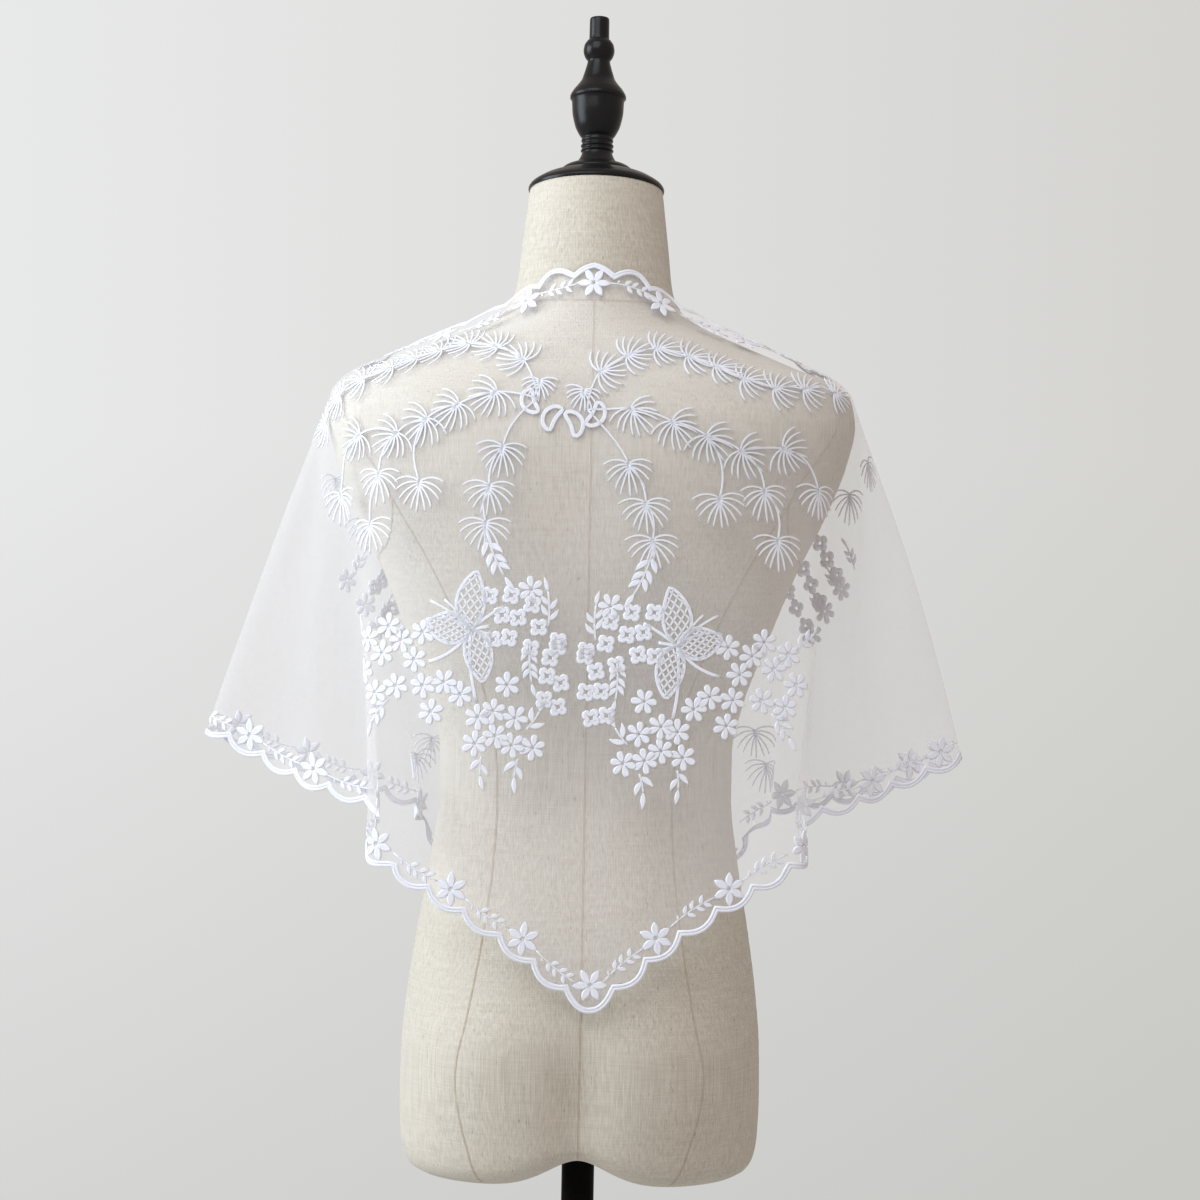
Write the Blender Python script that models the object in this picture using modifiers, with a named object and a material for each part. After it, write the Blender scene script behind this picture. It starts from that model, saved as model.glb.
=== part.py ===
"""A triangular lace shawl worn over the shoulders of a linen-covered dress form on a pole and round foot.

The back of the form faces -Y, its left and right sides are -X and +X, and the floor is at z = 0.
Sizes are in metres. Heights in the tables are measured from the lower edge of the torso.
"""

import math

import bpy
import numpy as np

TORSO_FOOT = 0.760
POLE_RADIUS = 0.0125
GAP = 0.0003

FOOT_RADIUS = 0.165
FOOT_THICKNESS = 0.012
HUB_RADIUS = 0.026
HUB_HEIGHT = 0.034

NECK_TOP = 0.746
NECK_TILT = math.radians(7.5)
TILT_STARTS = 0.640
UNDERSIDE_RISE = 0.004
ARCH_RISE = 0.020
ARCH_SPREAD = math.radians(20)
ARCH_FADES_AT = 0.085
TORSO_SIDES = 44

CLOTH_THICKNESS = 0.0012
TRIM_THICKNESS = 0.0016
CLOTH_LIFT = 0.0014
CLOTH_CLEARANCE = 0.0012
SCALLOP_LENGTH = 0.0315
SCALLOP_DEPTH = 0.0082
POINT_SCALLOP = 0.0470
POINT_EASE = 0.22
TRIM_WIDTH = 0.0045
SEAM_GAP = 0.0006
COLUMNS_PER_FOLD = 4
CLOTH_ROWS = 18
ROW_CROWDING = 1.3
SETTLE_PASSES = 6
SHARPEST_CROSSING = 0.14
MOST_BORDER = 0.80
TAUT_PASSES = 80
TAUT_ABOVE = 0.500
STEPS_PER_SCALLOP = 4
DRAPE_SECTIONS = 8
DRAPE_SHARES = 80

BODY_COLUMNS = ("height", "half_width", "back", "front", "centre_y", "squareness")
BODY = (
    (-0.006, 0.1220, 0.0940, 0.0880, 0.000, 2.3),
    (-0.002, 0.1290, 0.1010, 0.0950, 0.000, 2.3),
    (0.006, 0.1340, 0.1060, 0.1000, 0.000, 2.3),
    (0.021, 0.1368, 0.1085, 0.1030, 0.000, 2.3),
    (0.050, 0.1378, 0.1100, 0.1050, 0.000, 2.3),
    (0.090, 0.1370, 0.1100, 0.1060, 0.000, 2.3),
    (0.130, 0.1335, 0.1050, 0.1060, 0.000, 2.3),
    (0.180, 0.1264, 0.0950, 0.1030, 0.000, 2.3),
    (0.230, 0.1180, 0.0840, 0.0970, 0.000, 2.3),
    (0.280, 0.1122, 0.0760, 0.0910, 0.000, 2.3),
    (0.315, 0.1122, 0.0740, 0.0890, 0.000, 2.3),
    (0.350, 0.1196, 0.0760, 0.0920, 0.000, 2.3),
    (0.400, 0.1380, 0.0840, 0.1000, 0.000, 2.35),
    (0.450, 0.1580, 0.0920, 0.1060, 0.000, 2.4),
    (0.500, 0.1820, 0.0980, 0.1060, 0.000, 2.5),
    (0.540, 0.1970, 0.1010, 0.0990, 0.000, 2.5),
    (0.565, 0.2020, 0.0990, 0.0920, 0.000, 2.5),
    (0.585, 0.1990, 0.0940, 0.0840, 0.000, 2.4),
    (0.598, 0.1860, 0.0890, 0.0780, 0.000, 2.3),
    (0.609, 0.1580, 0.0820, 0.0720, 0.000, 2.2),
    (0.626, 0.1170, 0.0720, 0.0660, 0.001, 2.1),
    (0.640, 0.0850, 0.0650, 0.0620, 0.002, 2.0),
    (0.652, 0.0677, 0.0610, 0.0600, 0.003, 2.0),
    (0.668, 0.0604, 0.0580, 0.0585, 0.005, 2.0),
    (0.700, 0.0568, 0.0560, 0.0570, 0.011, 2.0),
    (0.746, 0.0516, 0.0516, 0.0516, 0.019, 2.0),
)

# A soft rise or hollow of the torso, centred at an angle from the back and a height.
# Each row: its angle in degrees, its height, its spread in degrees and in height, and its rise.
LOBES = (
    (-36, 0.085, 25, 0.060, 0.0100),
    (36, 0.085, 25, 0.060, 0.0100),
    (0, 0.040, 11, 0.060, -0.0090),
    (-148, 0.497, 21, 0.046, 0.0170),
    (148, 0.497, 21, 0.046, 0.0170),
    (-35, 0.545, 28, 0.060, 0.0035),
    (35, 0.545, 28, 0.060, 0.0035),
)

# One row for each section of the drape, from the middle of the back round to the tip in front.
# A section starts on the shawl's long edge, lies on the torso to where it leaves it, and hangs to the hem.
# The long edge and the places where the cloth leaves are angles from the back, heights and stand-offs.
FOLD_COLUMNS = (
    "section", "edge_deg", "edge_height", "edge_lift", "leave_deg", "leave_height", "leave_lift",
    "hem_x", "hem_y", "hem_height", "plumb",
)
RIGHT_FOLDS = (
    ("back middle", 0, 0.681, 0.0020, 0, 0.545, 0.0014, 0.007, -0.1190, 0.1200, 0.9),
    ("back quarter", 30, 0.677, 0.0024, 36, 0.550, 0.0014, 0.083, -0.1200, 0.1840, 0.9),
    ("back edge", 58, 0.661, 0.0045, 64, 0.560, 0.0014, 0.150, -0.1090, 0.2270, 0.9),
    ("back fold", 74, 0.643, 0.0070, 73, 0.562, 0.0014, 0.1645, -0.0940, 0.2390, 0.9),
    ("behind the arm", 83, 0.627, 0.0070, 78, 0.568, 0.0014, 0.1590, -0.0560, 0.2560, 0.7),
    ("rear of the wing", 89, 0.614, 0.0045, 84, 0.578, 0.0014, 0.218, -0.0310, 0.2780, 0.5),
    ("wing tip fold", 98, 0.604, 0.0030, 90, 0.585, 0.0014, 0.2905, 0.0020, 0.3080, 0.35),
    ("front of the wing", 107, 0.596, 0.0025, 98, 0.580, 0.0014, 0.223, 0.0520, 0.2760, 0.5),
    ("before the arm", 114, 0.582, 0.0022, 107, 0.566, 0.0014, 0.172, 0.0900, 0.2640, 0.7),
    ("front fold", 120, 0.554, 0.0022, 114, 0.544, 0.0014, 0.1475, 0.1060, 0.2560, 0.9),
    ("front step", 130.5, 0.462, 0.0200, 130.0, 0.450, 0.0215, 0.1390, 0.1260, 0.2430, 0.6),
    ("front panel", 144.5, 0.318, 0.0640, 143.4, 0.307, 0.0645, 0.1240, 0.1370, 0.2150, 0.3),
    ("front tip", 156.0, 0.192, 0.0580, 155.0, 0.1905, 0.0590, 0.0970, 0.1470, 0.1770, 0.0),
)
LEFT_FOLDS = (
    ("back middle", 0, 0.681, 0.0020, 0, 0.545, 0.0014, -0.007, -0.1190, 0.1200, 0.9),
    ("back quarter", 30, 0.677, 0.0024, 36, 0.550, 0.0014, 0.072, -0.1200, 0.1810, 0.9),
    ("back edge", 58, 0.661, 0.0045, 64, 0.560, 0.0014, 0.143, -0.1090, 0.2250, 0.9),
    ("back fold", 74, 0.643, 0.0070, 73, 0.562, 0.0014, 0.1585, -0.0940, 0.2370, 0.9),
    ("behind the arm", 83, 0.627, 0.0070, 78, 0.568, 0.0014, 0.1530, -0.0560, 0.2600, 0.7),
    ("rear of the wing", 89, 0.614, 0.0045, 84, 0.578, 0.0014, 0.220, -0.0290, 0.2850, 0.5),
    ("wing tip fold", 98, 0.604, 0.0030, 90, 0.585, 0.0014, 0.2930, 0.0000, 0.3210, 0.15),
    ("front of the wing", 107, 0.596, 0.0025, 98, 0.580, 0.0014, 0.218, 0.0500, 0.2880, 0.4),
    ("before the arm", 114, 0.582, 0.0022, 107, 0.566, 0.0014, 0.160, 0.0880, 0.2670, 0.5),
    ("front fold", 120, 0.554, 0.0022, 114, 0.544, 0.0014, 0.1300, 0.1090, 0.2530, 0.6),
    ("front step", 130.5, 0.462, 0.0200, 130.0, 0.450, 0.0215, 0.1300, 0.1280, 0.2420, 0.6),
    ("front panel", 144.5, 0.318, 0.0640, 143.4, 0.307, 0.0645, 0.1190, 0.1390, 0.2150, 0.3),
    ("front tip", 156.0, 0.195, 0.0580, 155.0, 0.1935, 0.0590, 0.0960, 0.1480, 0.1800, 0.0),
)
FOLDS_A_SIDE = len(RIGHT_FOLDS) - 1

# Radius and height above the underside of the neck cap, up the outside of the turned wood.
CAP_PROFILE = (
    (0.0525, 0.0000), (0.0527, 0.0020), (0.0505, 0.0052), (0.0430, 0.0100), (0.0350, 0.0132),
    (0.0292, 0.0150), (0.0284, 0.0166), (0.0250, 0.0194), (0.0200, 0.0214), (0.0165, 0.0222),
)
FINIAL_PROFILE = (
    (0.0158, 0.0225), (0.0150, 0.0240), (0.0130, 0.0275), (0.0117, 0.0310), (0.0128, 0.0327),
    (0.0117, 0.0346), (0.0128, 0.0366), (0.0116, 0.0386), (0.0125, 0.0408), (0.0120, 0.0428),
    (0.0140, 0.0455), (0.0173, 0.0520), (0.0197, 0.0620), (0.0204, 0.0728), (0.0217, 0.0746),
    (0.0217, 0.0768), (0.0206, 0.0790), (0.0190, 0.0816), (0.0164, 0.0848), (0.0131, 0.0895),
    (0.0109, 0.0960), (0.0092, 0.1020), (0.0088, 0.1050), (0.0106, 0.1076), (0.0119, 0.1110),
    (0.0121, 0.1140), (0.0113, 0.1180), (0.0092, 0.1212), (0.0078, 0.1228), (0.0076, 0.1380),
    (0.0066, 0.1396),
)
TURNED_SIDES = 20

LINEN = (0.80, 0.75, 0.66)
BLACK_WOOD = (0.022, 0.022, 0.023)
BLACK_METAL = (0.015, 0.015, 0.016)
WHITE_NET = (0.88, 0.89, 0.94)


def monotone(knots, values):
    """A smooth curve through the given points that never swings past them."""
    knots = np.asarray(knots, float)
    values = np.asarray(values, float)
    step = np.diff(knots)
    slope = np.diff(values) / step
    tangent = np.zeros_like(values)
    tangent[0], tangent[-1] = slope[0], slope[-1]
    before, after = slope[:-1], slope[1:]
    turning = before * after <= 0
    weight_a = 2 * step[1:] + step[:-1]
    weight_b = step[1:] + 2 * step[:-1]
    safe_before = np.where(turning, 1.0, before)
    safe_after = np.where(turning, 1.0, after)
    mean = (weight_a + weight_b) / (weight_a / safe_before + weight_b / safe_after)
    tangent[1:-1] = np.where(turning, 0.0, mean)

    def curve(at):
        at = np.clip(at, knots[0], knots[-1])
        i = np.clip(np.searchsorted(knots, at, side="right") - 1, 0, len(step) - 1)
        t = (at - knots[i]) / step[i]
        start = (2 * t**3 - 3 * t**2 + 1) * values[i] + (t**3 - 2 * t**2 + t) * step[i] * tangent[i]
        end = (3 * t**2 - 2 * t**3) * values[i + 1] + (t**3 - t**2) * step[i] * tangent[i + 1]
        return start + end

    return curve


def curves_of(rows, columns, knots=None):
    """One smooth curve for each numeric column of a table, by name."""
    numbers = [[v for v in row if not isinstance(v, str)] for row in rows]
    names = columns[len(columns) - len(numbers[0]):]
    if knots is None:
        knots = [row[0] for row in numbers]
    return {name: monotone(knots, [row[i] for row in numbers]) for i, name in enumerate(names)}


def smooth_step(t):
    t = np.clip(t, 0, 1)
    return t * t * (3 - 2 * t)


BODY_CURVES = curves_of(BODY, BODY_COLUMNS)
SECTIONS = np.arange(FOLDS_A_SIDE + 1)
SIDE_CURVES = {
    1: curves_of(RIGHT_FOLDS, FOLD_COLUMNS, SECTIONS),
    -1: curves_of(LEFT_FOLDS, FOLD_COLUMNS, SECTIONS),
}


def body_radius(angle, height):
    """How far the torso reaches from its centre line, at an angle from the back."""
    c = {name: curve(height) for name, curve in BODY_CURVES.items() if name != "height"}
    depth = np.where(np.cos(angle) > 0, c["back"], c["front"])
    power = c["squareness"]
    across = (np.abs(np.sin(angle)) / c["half_width"]) ** power
    along = (np.abs(np.cos(angle)) / depth) ** power
    radius = (across + along) ** (-1 / power)
    for lobe_deg, lobe_height, spread_deg, spread_height, rise in LOBES:
        turn = np.mod(angle - math.radians(lobe_deg) + math.pi, 2 * math.pi) - math.pi
        falloff = (turn / math.radians(spread_deg)) ** 2 + ((height - lobe_height) / spread_height) ** 2
        radius = radius + rise * np.exp(-falloff)
    return radius


def body_point(angle, height, lift=0.0):
    """A point on the torso, or lift outside it, in metres above the floor."""
    angle, height = np.broadcast_arrays(np.asarray(angle, float), np.asarray(height, float))
    radius = body_radius(angle, height) + lift
    x = radius * np.sin(angle)
    across = -radius * np.cos(angle)
    tilt = smooth_step((height - TILT_STARTS) / (NECK_TOP - TILT_STARTS)) * math.tan(NECK_TILT)
    arch = np.exp(-((np.sin(angle) / math.sin(ARCH_SPREAD)) ** 2)) * ARCH_RISE
    arch = arch * np.clip(1 - height / ARCH_FADES_AT, 0, 1) ** 2
    z = TORSO_FOOT + height + arch - across * tilt
    return np.stack([x, across + BODY_CURVES["centre_y"](height), z], axis=-1)


def body_normal(angle, height):
    """The direction that points straight out of the torso."""
    turn, climb = 0.01, 0.001
    round_it = body_point(angle + turn, height) - body_point(angle - turn, height)
    up_it = body_point(angle, height + climb) - body_point(angle, height - climb)
    normal = np.cross(round_it, up_it)
    return normal / np.linalg.norm(normal, axis=-1, keepdims=True)


def over_body(angle, height, lift):
    return body_point(angle, height) + body_normal(angle, height) * np.asarray(lift)[..., None]


def hanging_curve(leave, heading, hem, plumb, steps):
    """From where the cloth leaves the torso to the hem, as smooth as it left and plumb as it ends."""
    fall = hem - leave
    length = np.linalg.norm(fall)
    up = np.array([0.0, 0.0, 1.0])
    arrive = -fall / length * (1 - plumb) + up * plumb
    first = leave + heading * length * 0.22
    second = hem + arrive / np.linalg.norm(arrive) * length * 0.42
    t = np.linspace(0, 1, steps + 1)[1:, None]
    bend = 3 * (1 - t) ** 2 * t * first + 3 * (1 - t) * t**2 * second
    return (1 - t) ** 3 * leave + bend + t**3 * hem


def outside_body(points):
    """How far outside the torso points are, measured straight from its centre line."""
    lean = math.tan(NECK_TILT)
    height = points[..., 2] - TORSO_FOOT
    for _ in range(3):
        across = points[..., 1] - BODY_CURVES["centre_y"](height)
        tilt = smooth_step((height - TILT_STARTS) / (NECK_TOP - TILT_STARTS)) * lean
        height = points[..., 2] - TORSO_FOOT + across * tilt
    angle = np.arctan2(points[..., 0], -across)
    return np.hypot(points[..., 0], across) - body_radius(angle, height)


def off_body(points):
    """Nearly how far points stand off the torso's surface, and which way leads straight off it."""
    step = 0.0005
    slope = np.empty_like(points)
    for k in range(3):
        nudge = np.zeros(3)
        nudge[k] = step
        slope[..., k] = (outside_body(points + nudge) - outside_body(points - nudge)) / (2 * step)
    steepness = np.linalg.norm(slope, axis=-1)
    return outside_body(points) / steepness, slope / steepness[..., None]


def pulled_taut(points):
    """Lets cloth that lies on the torso bridge its hollows instead of following them."""
    taut = points.copy()
    lying = points[..., 2] > TORSO_FOOT + TAUT_ABOVE
    _, normal = off_body(points)
    for _ in range(TAUT_PASSES):
        for axis in (0, 1):
            moved = np.moveaxis(taut, axis, 0)
            out = np.moveaxis(normal, axis, 0)[1:-1]
            sag = (moved[:-2] + moved[2:]) / 2 - moved[1:-1]
            rise = np.maximum((sag * out).sum(axis=-1), 0) * np.moveaxis(lying, axis, 0)[1:-1]
            moved[1:-1] += out * rise[..., None] * 0.6
    return taut


def kept_off_body(points, lift):
    """Moves points that the torso would touch straight off it."""
    for _ in range(3):
        distance, normal = off_body(points)
        points = points + normal * np.maximum(lift - distance, 0)[..., None]
    return points


def eased_section(section):
    """The section that sets the hem's height, eased so that the point of the shawl is round."""
    away = abs(section)
    return away if away > POINT_EASE else POINT_EASE / 2 * (1 + (away / POINT_EASE) ** 2)


def cloth_column(section):
    """The path of the cloth from the long edge to the hem, at one section of the drape."""
    side = 1 if section >= 0 else -1
    c = {name: curve(abs(section)) for name, curve in SIDE_CURVES[side].items()}
    c["hem_height"] = SIDE_CURVES[side]["hem_height"](eased_section(section))
    share = np.linspace(0, 1, 25)
    angle = np.radians(c["edge_deg"] + (c["leave_deg"] - c["edge_deg"]) * share**0.8) * side
    height = c["edge_height"] + (c["leave_height"] - c["edge_height"]) * share
    lift = c["edge_lift"] + (c["leave_lift"] - c["edge_lift"]) * share
    lying = over_body(angle, height, lift)
    heading = lying[-1] - lying[-2]
    heading = heading / np.linalg.norm(heading)
    hem = np.array([side * c["hem_x"], c["hem_y"], TORSO_FOOT + c["hem_height"]])
    hanging = hanging_curve(lying[-1], heading, hem, c["plumb"], 40)
    return np.vstack([lying, hanging])


def drape():
    """The whole cloth as a fine table of points: sections of the drape by shares of their length."""
    sections = np.linspace(-FOLDS_A_SIDE, FOLDS_A_SIDE, 2 * FOLDS_A_SIDE * DRAPE_SECTIONS + 1)
    shares = np.linspace(0, 1, DRAPE_SHARES + 1)
    points = np.empty((len(sections), len(shares), 3))
    for i, section in enumerate(sections):
        path = cloth_column(section)
        reached = reach_along(path)
        for k in range(3):
            points[i, :, k] = np.interp(shares * reached[-1], reached, path[:, k])
    points = kept_off_body(pulled_taut(kept_off_body(points, CLOTH_LIFT)), CLOTH_LIFT)
    lengths = np.linalg.norm(np.diff(points, axis=1), axis=-1).sum(axis=1)
    return sections, points, lengths


def reach_along(path):
    """How far along a line of points each of them is."""
    return np.concatenate([[0], np.cumsum(np.linalg.norm(np.diff(path, axis=0), axis=1))])


def cloth_points(cloth, section, share):
    """Points of the cloth at given sections and shares of the way from top edge to hem."""
    sections, points, _ = cloth
    section, share = np.broadcast_arrays(np.asarray(section, float), np.asarray(share, float))
    u = (section - sections[0]) / (sections[-1] - sections[0]) * (len(sections) - 1)
    v = share * (points.shape[1] - 1)
    i = np.clip(np.floor(u).astype(int), 0, len(sections) - 2)
    j = np.clip(np.floor(v).astype(int), 0, points.shape[1] - 2)
    p, q = (u - i)[..., None], (v - j)[..., None]
    near = points[i, j] * (1 - q) + points[i, j + 1] * q
    far = points[i + 1, j] * (1 - q) + points[i + 1, j + 1] * q
    return near * (1 - p) + far * p


def cloth_lengths(cloth, section):
    return np.interp(section, cloth[0], cloth[2])


def section_inside(cloth, share, inset):
    """The section that lies inset from the front edge, on the right, at a share of its length."""
    near = 0.2
    edge = cloth_points(cloth, FOLDS_A_SIDE, share)
    spacing = np.linalg.norm(edge - cloth_points(cloth, FOLDS_A_SIDE - near, share), axis=-1)
    return FOLDS_A_SIDE - near * inset / spacing


def material(name, colour, roughness, metallic=0.0, alpha=1.0):
    made = bpy.data.materials.new(name)
    made.use_nodes = True
    shader = made.node_tree.nodes["Principled BSDF"]
    shader.inputs["Base Color"].default_value = (*colour, 1.0)
    shader.inputs["Roughness"].default_value = roughness
    shader.inputs["Metallic"].default_value = metallic
    shader.inputs["Alpha"].default_value = alpha
    return made


def add_mesh(name, points, faces, finish, parts):
    """A new smooth-shaded object of the given points and faces."""
    mesh = bpy.data.meshes.new(name)
    mesh.from_pydata([tuple(p) for p in points], [], faces)
    mesh.shade_smooth()
    mesh.materials.append(finish)
    made = bpy.data.objects.new(name, mesh)
    parts.objects.link(made)
    return made


def grid_faces(rows, columns, closed=False):
    """Quads between the rows of a grid, joined round where it is closed."""
    last = columns if closed else columns - 1
    faces = []
    for row in range(rows - 1):
        for column in range(last):
            after = (column + 1) % columns
            below, above = row * columns, (row + 1) * columns
            faces.append((below + column, below + after, above + after, above + column))
    return faces


def add_torso(parts):
    """The form's body: a loft of rounded sections, closed by a flat neck top and a hollowed underside."""
    angles = np.arange(TORSO_SIDES) * 2 * math.pi / TORSO_SIDES
    rings = [body_point(angles, np.full(TORSO_SIDES, row[0])) for row in BODY]
    sole = rings[0]
    flat = TORSO_FOOT + UNDERSIDE_RISE
    under = []
    for share in (0.30, 0.72):
        ring = sole * (share, share, 1)
        ring[:, 2] = sole[:, 2] + (flat - sole[:, 2]) * smooth_step((1 - share) / 0.70)
        under.append(ring)
    rings = under + rings
    points = np.vstack(rings)
    faces = grid_faces(len(rings), TORSO_SIDES, closed=True)
    last = (len(rings) - 1) * TORSO_SIDES
    faces.append(tuple(range(TORSO_SIDES))[::-1])
    faces.append(tuple(last + i for i in range(TORSO_SIDES)))
    return add_mesh("torso", points, faces, material("linen", LINEN, 0.85), parts)


def add_turned(name, profile, finish, parts):
    """A solid turned about Z from a profile that runs up its outside."""
    rims = [(0.0, profile[0][1]), *profile, (0.0, profile[-1][1])]
    mesh = bpy.data.meshes.new(name)
    points = [(radius, 0.0, height) for radius, height in reversed(rims)]
    mesh.from_pydata(points, [(i, i + 1) for i in range(len(points) - 1)], [])
    mesh.materials.append(finish)
    made = bpy.data.objects.new(name, mesh)
    parts.objects.link(made)
    screw = made.modifiers.new("turn", "SCREW")
    screw.axis = "Z"
    screw.steps = screw.render_steps = TURNED_SIDES
    screw.use_merge_vertices = True
    screw.merge_threshold = 0.0001
    screw.use_smooth_shade = True
    return made


def add_neck_cap_and_finial(parts):
    """The turned wooden cap and knob, both leaning with the neck."""
    wood = material("black_wood", BLACK_WOOD, 0.35)
    lean = bpy.data.objects.new("neck_axis", None)
    top = body_point(np.array([0.0, math.pi]), np.array([NECK_TOP, NECK_TOP])).mean(axis=0)
    lean.location = (0.0, top[1], top[2] + GAP)
    lean.rotation_euler = (-NECK_TILT, 0.0, 0.0)
    parts.objects.link(lean)
    cap = add_turned("neck_cap", CAP_PROFILE, wood, parts)
    finial = add_turned("finial", FINIAL_PROFILE, wood, parts)
    cap.parent = lean
    finial.parent = lean


def add_pole_and_foot(parts):
    """A round pole from a socket in the foot up to the underside of the torso."""
    metal = material("black_metal", BLACK_METAL, 0.3, metallic=0.4)
    bottom = FOOT_THICKNESS + GAP
    top = TORSO_FOOT + UNDERSIDE_RISE - GAP
    bpy.ops.mesh.primitive_cylinder_add(vertices=28, radius=POLE_RADIUS, depth=top - bottom)
    pole = bpy.context.object
    pole.name = "pole"
    pole.location.z = (top + bottom) / 2
    pole.data.materials.append(metal)
    pole.data.shade_smooth()
    pole.data.set_sharp_from_angle(angle=math.radians(40))
    for holder in list(pole.users_collection):
        holder.objects.unlink(pole)
    parts.objects.link(pole)

    bore = POLE_RADIUS + GAP
    lip = 0.0015
    profile = [
        (0.0, 0.0), (FOOT_RADIUS - lip, 0.0), (FOOT_RADIUS, lip), (FOOT_RADIUS, 0.0055),
        (FOOT_RADIUS - 0.004, 0.0080), (0.100, FOOT_THICKNESS - 0.0012), (0.045, FOOT_THICKNESS),
        (HUB_RADIUS + 0.004, FOOT_THICKNESS + 0.002), (HUB_RADIUS, FOOT_THICKNESS + 0.008),
        (HUB_RADIUS - 0.002, HUB_HEIGHT - 0.004), (HUB_RADIUS - 0.006, HUB_HEIGHT),
        (bore, HUB_HEIGHT), (bore, FOOT_THICKNESS), (0.0, FOOT_THICKNESS),
    ]
    mesh = bpy.data.meshes.new("foot")
    points = [(radius, 0.0, height) for radius, height in reversed(profile)]
    mesh.from_pydata(points, [(i, i + 1) for i in range(len(points) - 1)], [])
    mesh.materials.append(metal)
    foot = bpy.data.objects.new("foot", mesh)
    parts.objects.link(foot)
    screw = foot.modifiers.new("turn", "SCREW")
    screw.axis = "Z"
    screw.steps = screw.render_steps = 48
    screw.use_merge_vertices = True
    screw.merge_threshold = 0.0001
    screw.use_smooth_shade = True


def thicken(made, thickness):
    """Gives a sheet its thickness outwards, so its inner face stays where it was laid."""
    solidify = made.modifiers.new("thickness", "SOLIDIFY")
    solidify.thickness = thickness
    solidify.offset = 1.0
    solidify.use_even_offset = True
    return made


def inset_along(cloth, section, share, width):
    """How far to go along the drape's sections to stand that width in from an edge they cross."""
    turn, step = 0.1, 0.01
    near = np.clip(section, turn - FOLDS_A_SIDE, FOLDS_A_SIDE - turn)
    edge = cloth_points(cloth, near + turn, share) - cloth_points(cloth, near - turn, share)
    down = cloth_points(cloth, near, min(share + step, 1)) - cloth_points(cloth, near, max(share - step, 0))
    sharpness = np.linalg.norm(np.cross(edge, down), axis=-1)
    sharpness = sharpness / np.linalg.norm(edge, axis=-1) / np.linalg.norm(down, axis=-1)
    return width / np.maximum(sharpness, SHARPEST_CROSSING)


def cloth_grid(cloth):
    """Rows of points from the long edge to the hem, with one border row and column all round."""
    width = SCALLOP_DEPTH + TRIM_WIDTH
    columns = 2 * FOLDS_A_SIDE * COLUMNS_PER_FOLD
    edge = section_inside(cloth, 0.5, width)
    sections = np.concatenate([[-FOLDS_A_SIDE], np.linspace(-edge, edge, columns + 1), [FOLDS_A_SIDE]])
    length = cloth_lengths(cloth, sections)
    above = inset_along(cloth, sections, 0.0, width) / length
    below = inset_along(cloth, sections, 1.0, width) / length
    crowded = np.maximum((above + below) / MOST_BORDER, 1)
    above, below = above / crowded, below / crowded
    rows = []
    for row in range(-1, CLOTH_ROWS + 2):
        share = min(max(row / CLOTH_ROWS, 0), 1) ** ROW_CROWDING
        if row < 0:
            shares = np.zeros_like(length)
        elif row > CLOTH_ROWS:
            shares = np.ones_like(length)
        else:
            shares = above + share * (1 - above - below)
        rows.append(cloth_points(cloth, sections, shares))
    return settled(np.array(rows))


def settled(grid):
    """Eases the points of a coarse grid off the torso until the faces between them clear it too."""
    for _ in range(SETTLE_PASSES):
        rise = np.zeros_like(grid)
        depth = np.zeros(grid.shape[:2])
        for down, along in ((0, 1), (1, 0), (1, 1)):
            corners = [(i, j) for i in range(down + 1) for j in range(along + 1)]
            rows, columns = grid.shape[0] - down, grid.shape[1] - along
            middle = sum(grid[i:i + rows, j:j + columns] for i, j in corners) / len(corners)
            distance, normal = off_body(middle)
            short = np.maximum(CLOTH_CLEARANCE - distance, 0)
            for i, j in corners:
                deeper = short > depth[i:i + rows, j:j + columns]
                depth[i:i + rows, j:j + columns][deeper] = short[deeper]
                rise[i:i + rows, j:j + columns][deeper] = (normal * short[..., None])[deeper]
        grid = grid + rise
    return grid


def add_net(grid, finish, parts):
    """The net ground of the shawl, one sheet that ends where the scalloped trim begins."""
    net = grid[1:-1, 1:-1]
    faces = [face[::-1] for face in grid_faces(net.shape[0], net.shape[1])]
    made = add_mesh("net", net.reshape(-1, 3), faces, finish, parts)
    return thicken(made, CLOTH_THICKNESS)


def scallop_marks(reached, crest, middle):
    """Where to place points along an edge, and how far round its scallops each of them is."""
    marks, phases = [], []
    for start, end in ((crest, 0.0), (crest, reached[-1])):
        length = abs(end - start)
        scallops = max(1, round((length - middle / 2) / SCALLOP_LENGTH + 0.5))
        first = np.linspace(0, middle / 2, round(middle / SCALLOP_LENGTH * STEPS_PER_SCALLOP / 2) + 1)
        others = np.linspace(middle / 2, length, round((scallops - 0.5) * STEPS_PER_SCALLOP) + 1)
        distance = np.concatenate([first, others[1:]])
        side = 1 if end > start else -1
        corners = [side * (r - start) for r in reached if 0 < side * (r - start) < length]
        apart = 0.15 * SCALLOP_LENGTH / STEPS_PER_SCALLOP
        kept = [d for d in distance[1:-1] if min(abs(d - c) for c in corners) > apart]
        distance = np.array(sorted([0.0, length, *corners, *kept]))
        marks.append(start + side * distance)
        beyond = np.maximum(distance - middle / 2, 0) / (length - middle / 2)
        phases.append(np.minimum(distance / middle, 0.5) + beyond * (scallops - 0.5))
    return np.concatenate([marks[0][::-1], marks[1][1:]]), np.concatenate([phases[0][::-1], phases[1][1:]])


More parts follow.
